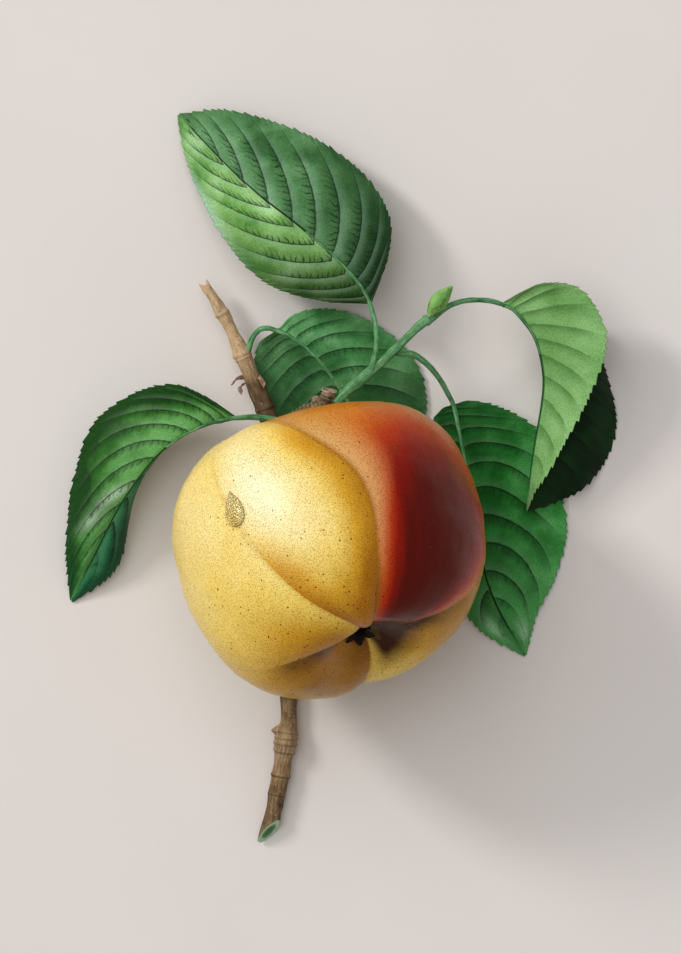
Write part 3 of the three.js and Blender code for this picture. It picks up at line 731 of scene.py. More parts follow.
# ---- twig, spur, shoot and bud ------------------------------------------------------------------
TWIG = [
    [-34, 72.3, 7.5, 1.3], [-31.3, 68, 7.2, 1.45], [-29.4, 64.7, 6.9, 1.75], [-27.4, 61, 6.6, 1.65],
    [-25.4, 57, 6.3, 1.8], [-23.8, 53.3, 6, 2.3], [-22.2, 49.7, 5.6, 2.2], [-20.6, 46, 5.3, 2.45],
    [-19, 42, 5.1, 2.45], [-17.4, 38, 5, 2.5], [-16.2, 33.5, 4.8, 2.5], [-17, 26, 4.2, 2.5],
    [-21, 15, 3.4, 2.4], [-25, 3, 2.8, 2.3], [-25, -9, 2.6, 2.3], [-21, -21, 2.5, 2.3],
    [-14.8, -31, 2.6, 2.3], [-11.3, -39, 2.5, 2.3], [-11.1, -46.5, 2.6, 2.15], [-11.6, -50, 3.1, 3.05],
    [-12, -53.5, 3.1, 3.0], [-12.5, -57, 2.6, 2.4], [-13.2, -61.6, 2.5, 2.45], [-14.2, -66.5, 2.4, 2.3],
    [-15.3, -72, 2.3, 2.25], [-16.6, -77.2, 2.3, 2.3],
]
TWIG_CUT_NORMAL = unit(np.array([0.49, -0.69, 0.53]))
TWIG_CUT_RAMP = 9.0  # mm over which the rings turn from square to the slant of the cut
TWIG_PITH_DEPTH = 0.35
TWIG_PITH = 0.4  # share of the cut's radius that the sunken pith takes up
TWIG_BREAK = 0.7
TWIG_SIDES, TWIG_STEPS = 72, 760
CUT_RINGS = (0.97, 0.9, 0.8, 0.66, 0.5, 0.34, 0.18)
# Growth rings where each year's wood starts: [y of the ring on the twig, height, width]
TWIG_RINGS = [
    [64.3, 0.28, 0.5], [53.3, 0.35, 0.6], [52.2, 0.2, 0.3], [38.5, 0.15, 0.5], [-50, 0.3, 0.45],
    [-51.6, 0.2, 0.35], [-53, 0.3, 0.45], [-55, 0.25, 0.4], [-61.8, 0.3, 0.45], [-67, 0.12, 0.3],
]
SPUR = [
    [-13.2, 31, 9.6, 1.7], [-12, 33.6, 13.5, 1.65], [-9.6, 36, 17, 1.4], [-6.6, 37.8, 18.6, 1.35],
    [-3.6, 39.1, 19.6, 1.45], [-1.2, 40, 20.3, 1.75], [-0.3, 41.6, 20.8, 1.75], [0, 43.3, 21.2, 2.05],
]
SPUR_KNOB = [[-2.4, 39.4, 19.6, 1.0], [-3.0, 40.1, 20.2, 1.3], [-3.6, 40.9, 20.7, 1.2], [-3.9, 41.4, 21, 0.7]]
SPUR_SIDES, SPUR_STEPS = 64, 200
SCAR_SPACING = 1.15
SPUR_CRATER = [[0.86, -0.1], [0.7, 0.3], [0.5, 0.9], [0.25, 1.1]]  # share of the radius, depth
SHOOT = [
    [1.6, 40.0, 20.7, 1.1], [2.9, 41.1, 20.8, 1.25], [5, 43, 20.9, 1.5], [8, 45.4, 21.2, 1.5],
    [11, 48, 21.6, 1.5], [15, 51.5, 22.3, 1.25], [18.5, 54.8, 23, 1.15], [22, 58.3, 23.6, 1.05],
    [24.4, 60.6, 24, 1.2], [27.2, 62.8, 24.3, 1.25],
]
BUD = [
    [27.3, 63.6, 25.0, 0.9], [28.5, 65.6, 25.5, 1.6], [29.6, 67, 25.5, 2.1], [30.9, 68.7, 25.9, 1.75],
    [32.2, 70.3, 26.2, 0.95], [33.3, 71.6, 26.5, 0.2],
]
# Scales wrapped round the bud: turn, start and end as shares of its length, and half width, in
# radians where they are angles
BUD_WRAPS = [[0.2, 0.1, 0.98, 0.95], [2.3, 0.02, 0.8, 1.0], [4.3, 0.16, 0.9, 0.85]]


def twig_marks(centre):
    """Height of the growth rings along the twig, where its bark is pale, and where it is darker: painted
    shade where the twig passes under the fruit's edges, and darker bark lower down.
    """
    y = centre[:, 1]
    height = sum(rise * bell(y, at, width) for at, rise, width in TWIG_RINGS)
    edge = sum(bell(y, at - 0.9 * width, 0.5 * width) for at, _, width in TWIG_RINGS)
    pale = smooth(y, 44, 54) + 0.35 * bell(y, -52, 6)
    # painted shade where the twig passes under the fruit's top and bottom edges (y 39 and -38), and darker
    # bark lower down (y -70)
    dark = bell(y, 39, 7) + bell(y, -38, 6) + 0.5 * bell(y, -70, 6)
    return height, np.clip(edge, 0, 1), pale, np.clip(dark, 0, 1)


def add_twig():
    centre, radius, spoke, tangent, distance, angle = sweep(TWIG, TWIG_SIDES, TWIG_STEPS)
    rings = centre[:, None] + spoke * radius[:, None, None]
    height, edge, pale, dark = twig_marks(centre)
    bumps = 0.16 * ripple(rings * [1, 0.45, 1], 1.5, 11) + 0.1 * ripple(rings, 4, 12)
    side_bump = 1.1 * bell(centre[:, 1], -49.9, 0.9)[:, None] * np.maximum(0, -np.cos(angle)) ** 6
    rings = rings + spoke * (bumps + height[:, None] + side_bump)[..., None]
    end_spoke = rings[-1] - centre[-1]
    slide = -(end_spoke @ TWIG_CUT_NORMAL) / (tangent[-1] @ TWIG_CUT_NORMAL)
    turning = smooth(distance, distance[-1] - TWIG_CUT_RAMP, distance[-1])
    rings = rings + tangent[:, None] * (turning[:, None] * slide)[..., None]
    ragged = TWIG_BREAK * np.cos(2 * angle + 0.6) + 0.25 * np.sin(7 * angle)
    breaking = 1 - smooth(distance, 0, 3)
    rings = rings - tangent[:, None] * (breaking[:, None] * ragged)[..., None]
    middle = rings[-1].mean(0)
    cap = []
    for f in CUT_RINGS:
        sunk = TWIG_PITH_DEPTH * (1 - f) * (f < TWIG_PITH)
        cap.append(middle + (rings[-1] - middle) * f - tangent[-1] * sunk)
    tip = rings[0].mean(0) + tangent[0] * 0.9
    tip_cap = [tip + (rings[0] - tip) * f for f in (0.3, 0.6, 0.85)]
    rings = np.concatenate([tip_cap, rings, cap])
    before, after = len(tip_cap), len(cap)
    girth = extended(radius, after, 2, before, 1)
    paint = {
        "along": extended(distance, after, distance[-1], before),
        "turn_x": np.cos(angle) * girth,
        "turn_y": np.sin(angle) * girth,
        "ring": extended(edge, after, 0, before),
        "pale": extended(pale, after, 0, before, 1),
        "dark": extended(dark, after, 0, before),
        "inner": np.concatenate([[1.0] * before, 0 * distance, 1 - np.array(CUT_RINGS)])[:, None],
        "cut": extended(0 * distance, after, 1, before),
    }
    body = Body(rings, tip, cap[-1].mean(0) - tangent[-1] * 0.05, paint)
    add_piece("twig", [body], [twig_material()], ["twig"])


def twig_material():
    """Bark all round, and pale green wood with a darker pith on the slanting cut."""
    s, colour, rough, height = bark(
        "twig_bark", (58, 42, 28), (128, 104, 74), (172, 146, 108), (206, 176, 138))
    wood = s.ramp(
        s.plus(s.painted("inner"), s.times(s.plus(s.noise(0.0006, 3), -0.5), 0.22)),
        (0.0, (176, 206, 168)), (0.3, (168, 200, 158)), (0.42, (96, 138, 96)),
        (0.8, (74, 110, 72)), (0.95, (130, 150, 104)))
    colour = s.mix(s.step(s.painted("cut"), 0.4, 0.6), colour, wood)
    return s.finish(colour, rough, height, BARK_RELIEF)


def knob_relief(skin_points, *_):
    return 0.16 * ripple(skin_points, 0.7, 24)


def add_spur(material):
    centre, radius, spoke, tangent, distance, angle = sweep(SPUR, SPUR_SIDES, SPUR_STEPS)
    rings = centre[:, None] + spoke * radius[:, None, None]
    scars = 0.14 * np.sin(distance * 2 * math.pi / SCAR_SPACING)[:, None]
    bumps = 0.26 * ripple(rings, 1.1, 21) + 0.12 * ripple(rings, 0.5, 22)
    rings = rings + spoke * (scars + bumps)[..., None]
    middle = rings[-1].mean(0)
    cap = []
    for f, depth in SPUR_CRATER:
        cap.append(middle + (rings[-1] - middle) * f - tangent[-1] * depth)
    rings = np.concatenate([rings, cap])
    after = len(cap)
    girth = extended(radius, after, 1)
    paint = {
        "along": extended(distance, after, distance[-1]),
        "turn_x": np.cos(angle) * girth,
        "turn_y": np.sin(angle) * girth,
        "ring": extended(bell(distance % SCAR_SPACING, 0.86, 0.2), after, 0.6),
        "pale": extended(smooth(distance, distance[-1] - 1.4, distance[-1]), after, 0.4),
    }
    arm = Body(rings, end=cap[-1].mean(0) - tangent[-1] * 0.1, paint=paint)
    knob = tube_body(SPUR_KNOB, 40, 40, knob_relief)
    add_piece("spur", [arm, knob], [material, material], ["spur"])


def green_material(name, dark, middle, light):
    s = Shader(name, roughness=0.5)
    s.dull(0.2)
    fibre_place = s.vector(s.times(s.painted("along"), 0.1), s.painted("turn_x"), s.painted("turn_y"))
    fibre = s.noise(0.3, 3, fibre_place)
    tone = s.plus(s.times(fibre, 0.6), s.times(s.noise(0.003, 2), 0.4))
    colour = s.ramp(tone, (0.34, dark), (0.5, middle), (0.68, light))
    grain = s.noise(0.0003, 2)
    colour = s.speckled(colour, grain, 0.3, 0.6, (0.5, 0.58, 0.5, 1.0), 0.5)
    return s.finish(colour, s.step(grain, 0.3, 0.7, 0.42, 0.6), s.plus(fibre, s.times(grain, 0.3)), 0.00012)


def add_shoot(material):
    def relief(places, distance, angle):
        ridge = 0.05 * np.cos(5 * angle + distance * 0.05)
        return ridge + 0.05 * ripple(places, 2.0, 31) + 0.3 * bell(distance, 33.6, 0.5)
    add_piece("shoot", [tube_body(SHOOT, 48, 260, relief)], [material], ["shoot"])


def add_bud(material):
    spindle = tube_body(BUD, 40, 70)
    line = np.array(BUD)
    axis = unit(line[-1, :3] - line[0, :3])
    bodies = [spindle]
    for index, (turn, start, end, width) in enumerate(BUD_WRAPS):
        share = np.linspace(0, 1, 41)
        at = spline(BUD, start + (end - start) * share)
        first = unit(np.cross(axis, ZENITH))
        second = np.cross(axis, first)
        v = np.linspace(-1, 1, 17)
        half_angle = width * np.sin(math.pi * np.clip(share * 0.94 + 0.06, 0, 1)) ** 0.6
        turns = turn + half_angle[:, None] * v
        spokes = np.cos(turns)[..., None] * first + np.sin(turns)[..., None] * second
        gap = 0.1 + 0.12 * index
        inner = at[:, None, :3] + spokes * (at[:, None, 3:] + gap)
        outer = at[:, None, :3] + spokes * (at[:, None, 3:] + gap + 0.22 - 0.14 * np.abs(v)[None, :, None])
        bodies.append(Body(np.concatenate([outer, inner[:, ::-1]], axis=1)))
    add_piece("bud", bodies, [material], ["bud"])


# ---- leaves -------------------------------------------------------------------------------------
# stalk: [x, y, z, radius] up to the blade. rows: across the blade from base to tip, each [midrib
# point, margin point of one half, margin point of the other], along a pair of side veins.
# upper: 1 where the glossy side faces along the rows' cross product, else -1.
LEAVES = {
    "leaf_top": {
        "upper": 1,
        "stalk": [
            [11.6, 49, 22.4, 1.0], [12.2, 51.6, 23.0, 0.85], [12.7, 54, 22.6, 0.7], [12.9, 57.5, 21.6, 0.65],
            [12.4, 62, 20, 0.7],
        ],
        "rows": [
            [[11, 67, 18.6], [11.6, 67, 18.6], [10.4, 66.7, 18.6]],
            [[9, 71, 20.2], [16, 79.5, 17], [-1, 67.4, 17.5]],
            [[6.3, 74.3, 21.3], [16.5, 90, 14.5], [-13, 70.4, 14.5]],
            [[2.5, 78.5, 22], [10.5, 101, 12], [-21.5, 76, 12.5]],
            [[-3, 83.5, 22], [-1, 110.3, 10], [-29, 85, 10]],
            [[-10, 89.3, 20.5], [-12.5, 115.4, 8], [-34, 94, 7.5]],
            [[-18, 95.5, 17.5], [-22, 118.7, 6], [-37.3, 101, 5]],
            [[-26, 102.7, 13], [-30.5, 119.8, 4], [-39.5, 108, 3]],
            [[-34, 111, 7], [-36.5, 119.2, 2], [-40.8, 113.5, 1.6]],
            [[-41, 118.6, 0.4], [-40.6, 119, 0.3], [-41.4, 118.2, 0.3]],
        ],
    },
    "leaf_left": {
        "upper": 1,
        "stalk": [
            [-13.6, 35, 9.6, 0.9], [-17, 35.7, 10, 0.85], [-20.5, 36, 11.2, 0.8], [-23, 35.9, 12.6, 0.75],
        ],
        "rows": [
            [[-25.5, 35.6, 14], [-25.4, 36.2, 14], [-25.6, 35.1, 13.6]],
            [[-28.5, 35, 16], [-34, 41.8, 15.5], [-30.5, 35.6, 8]],
            [[-32, 34.2, 18], [-43, 44.9, 14.5], [-36, 36, 6.5]],
            [[-36, 32.6, 20], [-54.5, 41.8, 12], [-43, 35.5, 5]],
            [[-41.5, 29.6, 21], [-64.3, 33.8, 9.5], [-49.5, 30.5, 4.5]],
            [[-47, 25, 20.5], [-69, 22, 8], [-53.8, 22.5, 4.5]],
            [[-53, 17.6, 18], [-71.1, 9.5, 7], [-55, 12, 5]],
            [[-58, 10, 14], [-71.7, 1, 5.5], [-55.4, 3.2, 5.5]],
            [[-63, 0.3, 8.5], [-71.5, -6, 3.5], [-59, -6.5, 3.5]],
            [[-70.4, -14, 0.4], [-70.8, -13.6, 0.3], [-70, -14.6, 0.3]],
        ],
    },
    "leaf_behind": {
        "upper": -1,
        "stalk": [
            [-22.3, 53.4, 6.2, 0.95], [-21, 57.3, 8, 0.75], [-19, 59.7, 9.3, 0.7], [-16.6, 60.2, 9.4, 0.7],
        ],
        "rows": [
            [[-14.3, 59.5, 9], [-13.8, 59.9, 9], [-14.8, 59.1, 9]],
            [[-11.5, 58.4, 9.5], [-9.5, 64, 6.5], [-18.8, 56.6, 5]],
            [[-8, 56.2, 9.5], [-1, 65.6, 4.5], [-20.2, 52.5, 2.6]],
            [[-4.5, 53.2, 9], [8.5, 63.4, 2.6], [-20.3, 47.5, 1.6]],
            [[-0.5, 48.6, 8], [17.5, 57.9, 1.6], [-18.8, 41.5, 1.2]],
            [[3, 43.5, 7], [24, 50.3, 1.2], [-15.5, 35, 1]],
            [[7, 37, 6], [26.4, 42, 1], [-10, 28.5, 0.9]],
            [[11.5, 29, 4.5], [25.8, 33, 1], [-2, 22, 0.9]],
            [[16, 21, 2.8], [23, 22, 1], [8, 17, 0.9]],
            [[19.5, 14, 0.5], [20, 14.4, 0.3], [19, 13.6, 0.3]],
        ],
    },
    "leaf_right": {
        "upper": 1,
        "stalk": [
            [26.4, 61.4, 23.8, 1.0], [28.9, 63.3, 23.2, 0.85], [31, 65, 23.2, 0.8], [33.5, 66.5, 23.1, 0.75],
            [37, 67.5, 22.9, 0.7], [40.7, 67.7, 21.6, 0.7], [44.2, 67.4, 19.8, 0.7],
        ],
        "rows": [
            [[47.2, 66.7, 18], [47.6, 67.3, 18.4], [47.5, 66.2, 17.5]],
            [[48.8, 66.1, 17.8], [58, 72.3, 19.5], [54, 69, 13.5]],
            [[50.5, 65.1, 17.5], [68.5, 70.5, 20], [62, 68, 9.5]],
            [[53, 62.5, 17], [74.8, 60.5, 20], [70.5, 61, 6]],
            [[56, 58.3, 16], [74.6, 51.5, 19.5], [75, 50.5, 3.5]],
            [[57.8, 53, 15], [71.5, 43.5, 18.5], [77.6, 41, 2]],
            [[58.7, 46, 13.5], [68, 36, 17], [78.2, 32.5, 0.5]],
            [[58, 38.5, 12.5], [63.5, 28, 15], [75.6, 24.5, 0.5]],
            [[56.3, 29, 11], [59.8, 21, 13], [70, 17.3, 3]],
            [[54.8, 19, 9.5], [56.3, 16, 10.7], [62, 12.8, 5.5]],
            [[54, 10.6, 7.5], [54.3, 10.9, 7.9], [54.2, 10.2, 7.1]],
        ],
    },
    "leaf_right_back": {
        "upper": -1,
        "stalk": [
            [18, 53.6, 22.3, 0.95], [20.1, 53.1, 21.4, 0.85], [22.5, 53.1, 20.9, 0.85],
            [25, 51.6, 19.6, 0.85],
            [27.7, 49.2, 17.8, 0.8], [30.2, 46, 15.4, 0.75], [32.2, 42.5, 12.8, 0.7],
        ],
        "rows": [
            [[33.8, 39.3, 10.6], [34.5, 39.6, 10.4], [33.1, 39.2, 10.3]],
            [[34.8, 35, 10.5], [38.5, 40.5, 9], [30.5, 38, 8]],
            [[35.8, 30, 10], [46, 38.9, 7], [27.3, 33, 6]],
            [[37, 24.5, 9.2], [54.5, 34.6, 4.5], [26.5, 24, 5]],
            [[38.5, 17.5, 8.2], [60, 27.5, 2.2], [27.5, 14, 4.5]],
            [[40, 9, 7], [63.3, 15, 1.2], [29, 4, 3.5]],
            [[41.3, 0, 5.5], [64.8, 4.5, 1], [31, -6, 2.5]],
            [[43.2, -9, 4], [61.8, -7.5, 1], [35.5, -15, 1.5]],
            [[47, -18, 2.5], [56.8, -17.5, 1], [42, -22.8, 1]],
            [[53.6, -29, 0.5], [53.9, -28.6, 0.3], [53.2, -29.4, 0.3]],
        ],
    },
}
LEAF_ARCH = 0.07
LEAF_THICKNESS = 0.34
LEAF_STEPS = 250
HALF_COLUMNS = 26
TOOTH_LENGTH = 2.4
TOOTH_HEIGHT = 0.7
VEINS_PER_ROW = 1.2  # side veins for each row of the outline
QUILT = 0.24  # how far the blade swells between two side veins
VEIN_RELIEF = 0.16
TONE_STOPS = (0.3, 0.5, 0.72)
RIB_REACH = 0.5  # the round midrib runs under this share of the blade's length
RIB_PICKS = 7


def leaf_teeth(margin):
    """How far the margin's teeth stand out, along one margin line."""
    distance = np.concatenate([[0], np.cumsum(np.linalg.norm(np.diff(margin, axis=0), axis=1))])
    phase = distance / TOOTH_LENGTH + 0.35 * np.sin(distance * 0.45)
    f = phase % 1.0
    saw = np.where(f < 0.82, (f / 0.82) ** 1.5, 1 - (f - 0.82) / 0.18)
    fade = smooth(distance, 3, 12) * (1 - smooth(distance, distance[-1] - 5, distance[-1] - 0.5))
    uneven = 1 + 0.3 * np.sin(2.3 * np.floor(phase))
    return TOOTH_HEIGHT * uneven * (saw - 0.3) * fade


def both_sides(values, like):
    """Values across the blade, for the rings that go over the glossy side and back under it."""
    grid = values + 0 * like
    return np.concatenate([grid, grid[:, ::-1]], axis=1)


def blade_body(rows, upper, look):
    """A leaf's closed blade, the line of its midrib and the blade's directions there."""
    rows = np.array(rows, float)
    u = np.linspace(0, 1, LEAF_STEPS + 1)
    midrib, one, other = (spline(rows[:, k], u) for k in range(3))
    v = np.sin(np.linspace(-1, 1, 2 * HALF_COLUMNS + 1) * math.pi / 2)
    share = np.abs(v)
    margin = np.where((v >= 0)[None, :, None], one[:, None], other[:, None])
    flat = midrib[:, None] + (margin - midrib[:, None]) * share[None, :, None]
    half = np.linalg.norm(margin - midrib[:, None], axis=-1)
    along = np.gradient(flat, axis=0)
    across = np.gradient(flat, axis=1)
    normal = unit(np.cross(across, along))
    outward = unit(margin - midrib[:, None])
    forward = unit(along)
    teeth = np.where((v >= 0)[None, :], leaf_teeth(one)[:, None], leaf_teeth(other)[:, None])
    at_edge = smooth(share, 0.8, 1.0)[None, :]
    flat = flat + (outward + 0.5 * forward) * (teeth * at_edge)[..., None]
    spans = len(rows) - 1
    stagger = np.where(v >= 0, 0.0, 0.32)[None, :]
    sweep_rows = np.where(v >= 0, look["sweep"][0], look["sweep"][1])
    bend = sweep_rows * share**1.5 - 0.14 * np.sin(math.pi * share)
    vein = (u[:, None] * spans - bend[None, :]) * VEINS_PER_ROW + stagger
    near_vein = np.abs((vein + 0.5) % 1 - 0.5)
    reach = half * share[None, :]
    inside = smooth(reach, 0.3, 2.5) * (1 - smooth(share, 0.82, 1.0)[None, :]) * smooth(half, 2, 8)
    quilt = QUILT * np.sin(math.pi * (vein % 1)) ** 2 * inside
    arch = LEAF_ARCH * half * 4 * share * (1 - share)
    wave = 0.35 * ripple(flat, 6, 41) * share**2 * smooth(half, 3, 10)
    groove = -0.3 * bell(reach, 0, 0.7) * (1 - smooth(u, 0.8, 1))[:, None]
    middle = arch + upper * (quilt + groove) + wave
    thick = LEAF_THICKNESS * (1 - 0.6 * smooth(share, 0.9, 1.0)[None, :])
    side_vein = VEIN_RELIEF * bell(near_vein, 0, 0.07) * inside
    rib = 0.5 * bell(reach, 0, 0.55) * (1 - 0.7 * u)[:, None]
    glossy = flat + normal * (middle + upper * thick / 2)[..., None]
    matte = flat + normal * (middle - upper * (thick / 2 + side_vein + rib))[..., None]
    rings = np.concatenate([glossy, matte[:, ::-1]], axis=1)
    sheen = 0 * half
    for side, at_u, at_share, long, wide in look["sheens"]:
        patch = bell(u, at_u, long)[:, None] * bell(share, at_share, wide)[None, :]
        sheen = sheen + patch * (np.sign(v) == side)[None, :]
    marks = {
        "vein": vein, "reach": reach, "share": share[None, :], "half": np.sign(v)[None, :],
        "leaf_u": u[:, None], "sheen": sheen,
    }
    paint = {key: both_sides(values, half) for key, values in marks.items()}
    paint["glossy"] = np.concatenate([np.ones_like(half), np.zeros_like(half)], axis=1)
    return Body(rings, paint=paint), midrib, unit(normal[:, HALF_COLUMNS])


def leaf_material(name, look):
    """Green with dark side veins, fine cross veins and a midrib line; paler and duller below. A painted
    shadow lies just past each side vein and a painted highlight before the next.
    """
    s = Shader(name, roughness=0.5)
    s.dull(0.12)
    vein, reach, share, half = (s.painted(key) for key in ("vein", "reach", "share", "half"))
    along = s.painted("leaf_u")
    phase = s.math("FRACT", vein)
    to_vein = s.math("MINIMUM", phase, s.math("SUBTRACT", 1.0, phase))
    wobble = s.times(s.plus(s.noise(0.0018, 2), -0.5), 0.09)
    line = s.step(s.math("ABSOLUTE", s.plus(to_vein, wobble)), 0.012, 0.055, 1.0, 0.0)
    shadow = s.step(phase, 0.0, look["shadow_width"], 1.0, 0.0)
    fade = s.times(
        s.step(share, 0.6, 0.97, 1.0, 0.0), s.step(reach, 0.0, 0.8), s.step(along, 0.8, 0.93, 1.0, 0.1))
    barb_place = s.plus(s.times(reach, 0.62), s.times(phase, 1.9), s.times(s.noise(0.004, 2), 2.2))
    barb_phase = s.math("FRACT", barb_place)
    barb = s.step(s.math("ABSOLUTE", s.plus(barb_phase, -0.5)), 0.06, 0.17, 1.0, 0.0)
    barb_at = s.plus(phase, s.times(s.plus(s.noise(0.0012, 1), -0.5), 0.5))
    barb_reach = s.step(barb_at, 0.1, look["barb_reach"], 1.0, 0.0)
    barbs = s.times(barb, barb_reach, s.step(share, 0.45, 0.85, 1.0, 0.0), look["barbs"])
    mottle = s.noise(0.009, 3)
    fine = s.noise(0.0005, 2)
    side_mix = s.step(half, -0.05, 0.05)
    # the green darkens (negative) or lightens towards the margin; on leaf_left it is painted shade at the
    # margin and a painted highlight by the midrib
    tone = s.plus(mottle, s.times(s.plus(share, -0.5), look["margin_tone_and_shade"]))
    one, other = (s.ramp(tone, *zip(TONE_STOPS, look[key])) for key in ("one", "other"))
    colour = s.mix(side_mix, other, one)
    # darker towards the base; on leaf_right_back this is painted shadow of the fruit
    colour = s.mix(s.times(s.step(along, 0.1, 0.6, 1.0, 0.0), look["dark_base"]), colour, look["vein"])
    # tip colour; on leaf_behind it is painted shadow where the tip runs under the fruit
    colour = s.mix(s.times(s.step(along, *look["tip_span"]), look["tip_tint_and_shade"]), colour, look["tip"])
    colour = s.mix(s.times(shadow, look["shadow"], fade), colour, look["vein"])
    # painted highlight: the blade is lightened towards the sheen colour before each side vein
    ridge = s.step(phase, 0.5, 1.0, 0.0, look["ridge"])
    colour = s.mix(s.times(ridge, fade), colour, look["sheen"])
    sheen = s.times(s.painted("sheen"), s.step(fine, 0.3, 0.6, 0.7, 1.0), 0.6)
    colour = s.mix(sheen, colour, look["sheen"])
    dark = s.math("MAXIMUM", s.times(line, 0.8, fade), barbs)
    colour = s.mix(dark, colour, look["vein"])
    under = s.ramp(tone, (0.3, look["under"][0]), (0.7, look["under"][1]))
    under = s.mix(s.times(shadow, 0.5, fade), under, look["under_vein"])
    under = s.mix(s.times(line, 0.55, fade), under, look["under_vein"])
    colour = s.mix(s.step(s.painted("glossy"), 0.45, 0.55), under, colour)
    rib = s.step(reach, look["rib"] * 0.5, look["rib"], 1.0, 0.0)
    colour = s.mix(s.times(rib, s.step(along, 0.9, 1.0, 1.0, 0.0)), colour, look["midrib"])
    edge = s.step(share, 0.985, 1.0)
    colour = s.mix(s.times(edge, 0.5), colour, look["vein"])
    colour = s.speckled(colour, s.noise(0.00034, 1), 0.32, 0.55, (0.42, 0.5, 0.42, 1.0), 0.6)
    rough = s.step(s.painted("glossy"), 0.45, 0.55, 0.75, 0.46)
    height = s.plus(s.times(line, -0.5), s.times(barbs, -0.4), s.times(fine, 0.4), s.times(mottle, 0.3))
    return s.finish(colour, rough, height, 0.00018)


# one, other: the two halves' dark, middle and light greens. sweep: how many rows towards the tip a
# side vein ends on each margin. sheens: pale patches, as half, place along and across, and widths.
SHARED_LOOK = {
    "under": ((96, 144, 84), (128, 170, 112)), "under_vein": (80, 120, 64),
    "dark_base": 0.0, "tip_span": (0.55, 1.0), "tip_tint_and_shade": 0.0, "shadow": 0.5, "shadow_width": 0.5,
    "barbs": 0.0, "barb_reach": 0.4, "sheens": [],
}
LEAF_LOOKS = {
    "leaf_top": {
        "one": ((44, 90, 44), (76, 126, 74), (110, 158, 108)), "sweep": (1.0, 0.9),
        "other": ((76, 134, 52), (124, 176, 94), (160, 204, 140)), "margin_tone_and_shade": -0.1,
        "ridge": 0.12,
        "under": ((104, 150, 88), (138, 178, 118)), "under_vein": (84, 124, 66),
        "vein": (14, 46, 18), "midrib": (8, 30, 12), "tip": (104, 150, 104),
        "dark_base": 0.85, "tip_tint_and_shade": 0.3, "shadow": 0.4, "shadow_width": 0.35,
        "barbs": 0.85, "barb_reach": 0.6, "rib": 0.5, "sheen": (190, 222, 206),
        "sheens": [(-1, 0.56, 1.0, 0.14, 0.12)],
    },
    "leaf_left": {
        "one": ((14, 62, 8), (44, 104, 28), (94, 156, 80)), "sweep": (1.75, 1.4),
        "ridge": 0.07,
        # painted shade at the outer margin and painted highlight by the midrib
        "other": ((18, 72, 46), (32, 98, 64), (56, 124, 82)), "margin_tone_and_shade": -0.9,
        "vein": (8, 40, 10), "midrib": (20, 66, 30), "tip": (36, 98, 58),
        "tip_tint_and_shade": 0.25, "shadow": 0.55,
        "barbs": 0.6, "barb_reach": 0.5, "rib": 0.4, "sheen": (188, 206, 184),
        "sheens": [(1, 0.68, 0.22, 0.03, 0.25), (1, 0.74, 0.5, 0.03, 0.2)],
    },
    "leaf_behind": {
        "one": ((36, 98, 42), (80, 148, 84), (126, 188, 128)), "sweep": (1.4, 1.2),
        "ridge": 0.14,
        "other": ((36, 88, 44), (66, 122, 72), (100, 154, 104)), "margin_tone_and_shade": 0.1,
        # painted shadow: the dark tip colour where this leaf's tip runs under the fruit
        "vein": (10, 46, 18), "midrib": (90, 142, 92), "tip": (20, 62, 18),
        "tip_span": (0.43, 0.66), "tip_tint_and_shade": 0.8, "shadow": 0.6, "shadow_width": 0.6,
        "barbs": 0.5, "rib": 0.55, "sheen": (150, 196, 156),
    },
    "leaf_right": {
        "one": ((4, 28, 4), (8, 42, 10), (16, 60, 18)), "sweep": (0.0, 0.0), "ridge": 0.1,
        "other": ((2, 20, 2), (6, 34, 6), (12, 50, 12)), "margin_tone_and_shade": 0.1,
        "under": ((104, 156, 84), (138, 186, 118)), "under_vein": (62, 112, 44),
        "vein": (2, 18, 2), "midrib": (38, 96, 50), "tip": (8, 40, 10),
        "rib": 0.6, "sheen": (40, 90, 44),
    },
    "leaf_right_back": {
        "one": ((20, 96, 26), (44, 134, 52), (88, 172, 92)), "sweep": (2.2, 1.0),
        "other": ((12, 72, 16), (28, 108, 36), (56, 144, 64)), "margin_tone_and_shade": 0.2,
        "ridge": 0.08,
        "under": ((120, 176, 124), (156, 204, 156)),
        "vein": (2, 34, 6), "midrib": (8, 44, 14), "tip": (96, 164, 100),
        # dark_base here is painted shadow of the fruit over the leaf's base half
        "dark_base": 0.55, "tip_tint_and_shade": 0.4, "shadow": 0.55, "shadow_width": 0.55,
        "barbs": 0.4, "rib": 0.4, "sheen": (176, 220, 180),
        "sheens": [(-1, 0.9, 0.6, 0.04, 0.2), (1, 0.94, 0.6, 0.03, 0.25)],
    },
}


def stem_relief(skin_points, _, angle):
    return 0.03 * np.cos(3 * angle) + 0.03 * ripple(skin_points, 2, 51)


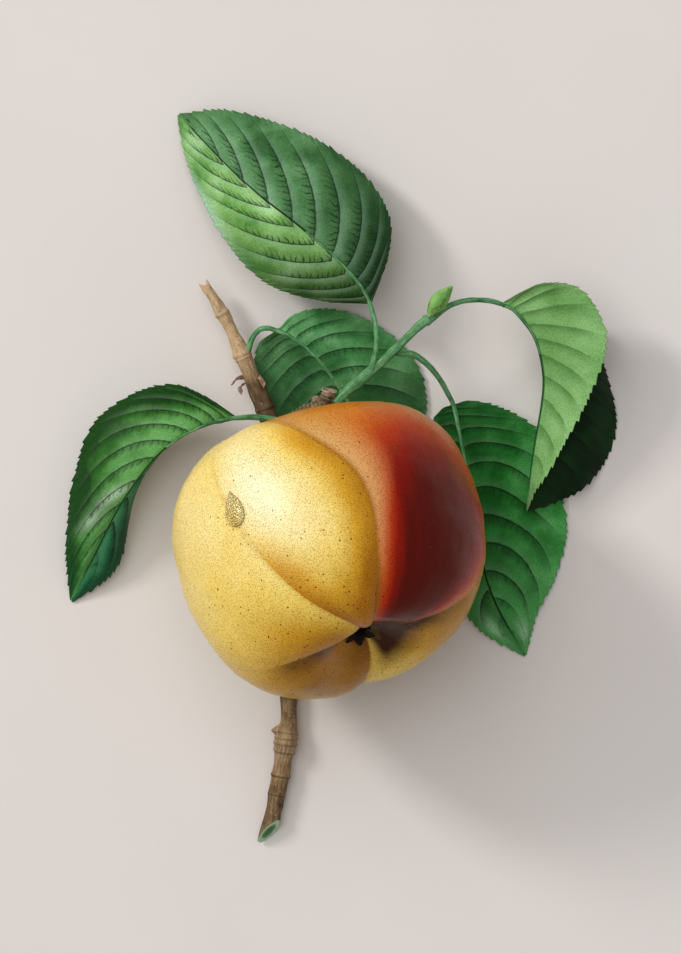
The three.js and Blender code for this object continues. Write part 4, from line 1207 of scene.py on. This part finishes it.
def add_leaf(name, stem_material):
    leaf = LEAVES[name]
    look = {**SHARED_LOOK, **LEAF_LOOKS[name]}
    blade, midrib, normal = blade_body(leaf["rows"], leaf["upper"], look)
    below = midrib - normal * leaf["upper"] * 0.3
    picks = np.linspace(0, LEAF_STEPS * RIB_REACH, RIB_PICKS).astype(int)
    rib = [[*below[pick], 0.62 - 0.36 * order / (RIB_PICKS - 1)] for order, pick in enumerate(picks)]
    stem = tube_body([*leaf["stalk"], *rib], 28, 170, stem_relief)
    add_piece(name, [blade, stem], [leaf_material(name, look), stem_material], [name])


# ---- dried bud scales ---------------------------------------------------------------------------
BUD_SCALES = [
    {"path": [[-22.6, 46.6, 6.2], [-24.9, 46.4, 6.9], [-26.6, 44.6, 6.3]], "width": 1.5},
    {"path": [[-22.9, 45.2, 5.6], [-24, 43.8, 5.4], [-23.8, 42.2, 4.6]], "width": 1.5},
    {"path": [[-19, 47.2, 7.8], [-17.9, 45.6, 8.3], [-17.8, 44.0, 7.8]], "width": 1.4},
]
SCALE_SIDEWAYS = np.array([0.5, 0.6, 0.6])


def add_bud_scales():
    material = withered_material("dry_scale", (110, 84, 66), (188, 158, 132))
    for index, scale in enumerate(BUD_SCALES):
        width = scale["width"] / 2
        widths = [width * f for f in (1.0, 1.15, 0.8, 0.15)]
        line = spline(scale["path"], np.linspace(0, 1, 4))
        body = strip_body(line, SCALE_SIDEWAYS, widths, 0.2, 0.3, 0.15, 60 + index)
        name = f"bud_scale_{index + 1}"
        add_piece(name, [body], [material], [name])


# ---- floor --------------------------------------------------------------------------------------
def add_floor():
    half = FLOOR_SIZE / 2
    corners = [(-half, -half), (half, -half), (half, half), (-half, half)]
    mesh = bpy.data.meshes.new("floor")
    mesh.from_pydata([(x, y, -FLOOR_DEPTH) for x, y in corners], [], [(0, 1, 2, 3)])
    s = Shader("floor_paper", roughness=0.9)
    cloudy = s.noise(0.05, 3)
    mesh.materials.append(s.finish(s.mix(cloudy, (214, 208, 205), (220, 215, 212))))
    floor = bpy.data.objects.new("floor", mesh)
    bpy.context.scene.collection.objects.link(floor)


add_camera()
add_lights()
add_floor()
add_fruit()
add_calyx()
old_bark = old_bark_material()
add_stalk(old_bark)
add_drop()
add_twig()
add_spur(old_bark)
green_stem = green_material("green_stem", (40, 92, 52), (84, 142, 92), (134, 182, 132))
add_shoot(green_stem)
add_bud(green_material("bud_green", (66, 122, 48), (120, 172, 88), (160, 200, 124)))
for leaf_name in LEAVES:
    add_leaf(leaf_name, green_stem)
add_bud_scales()
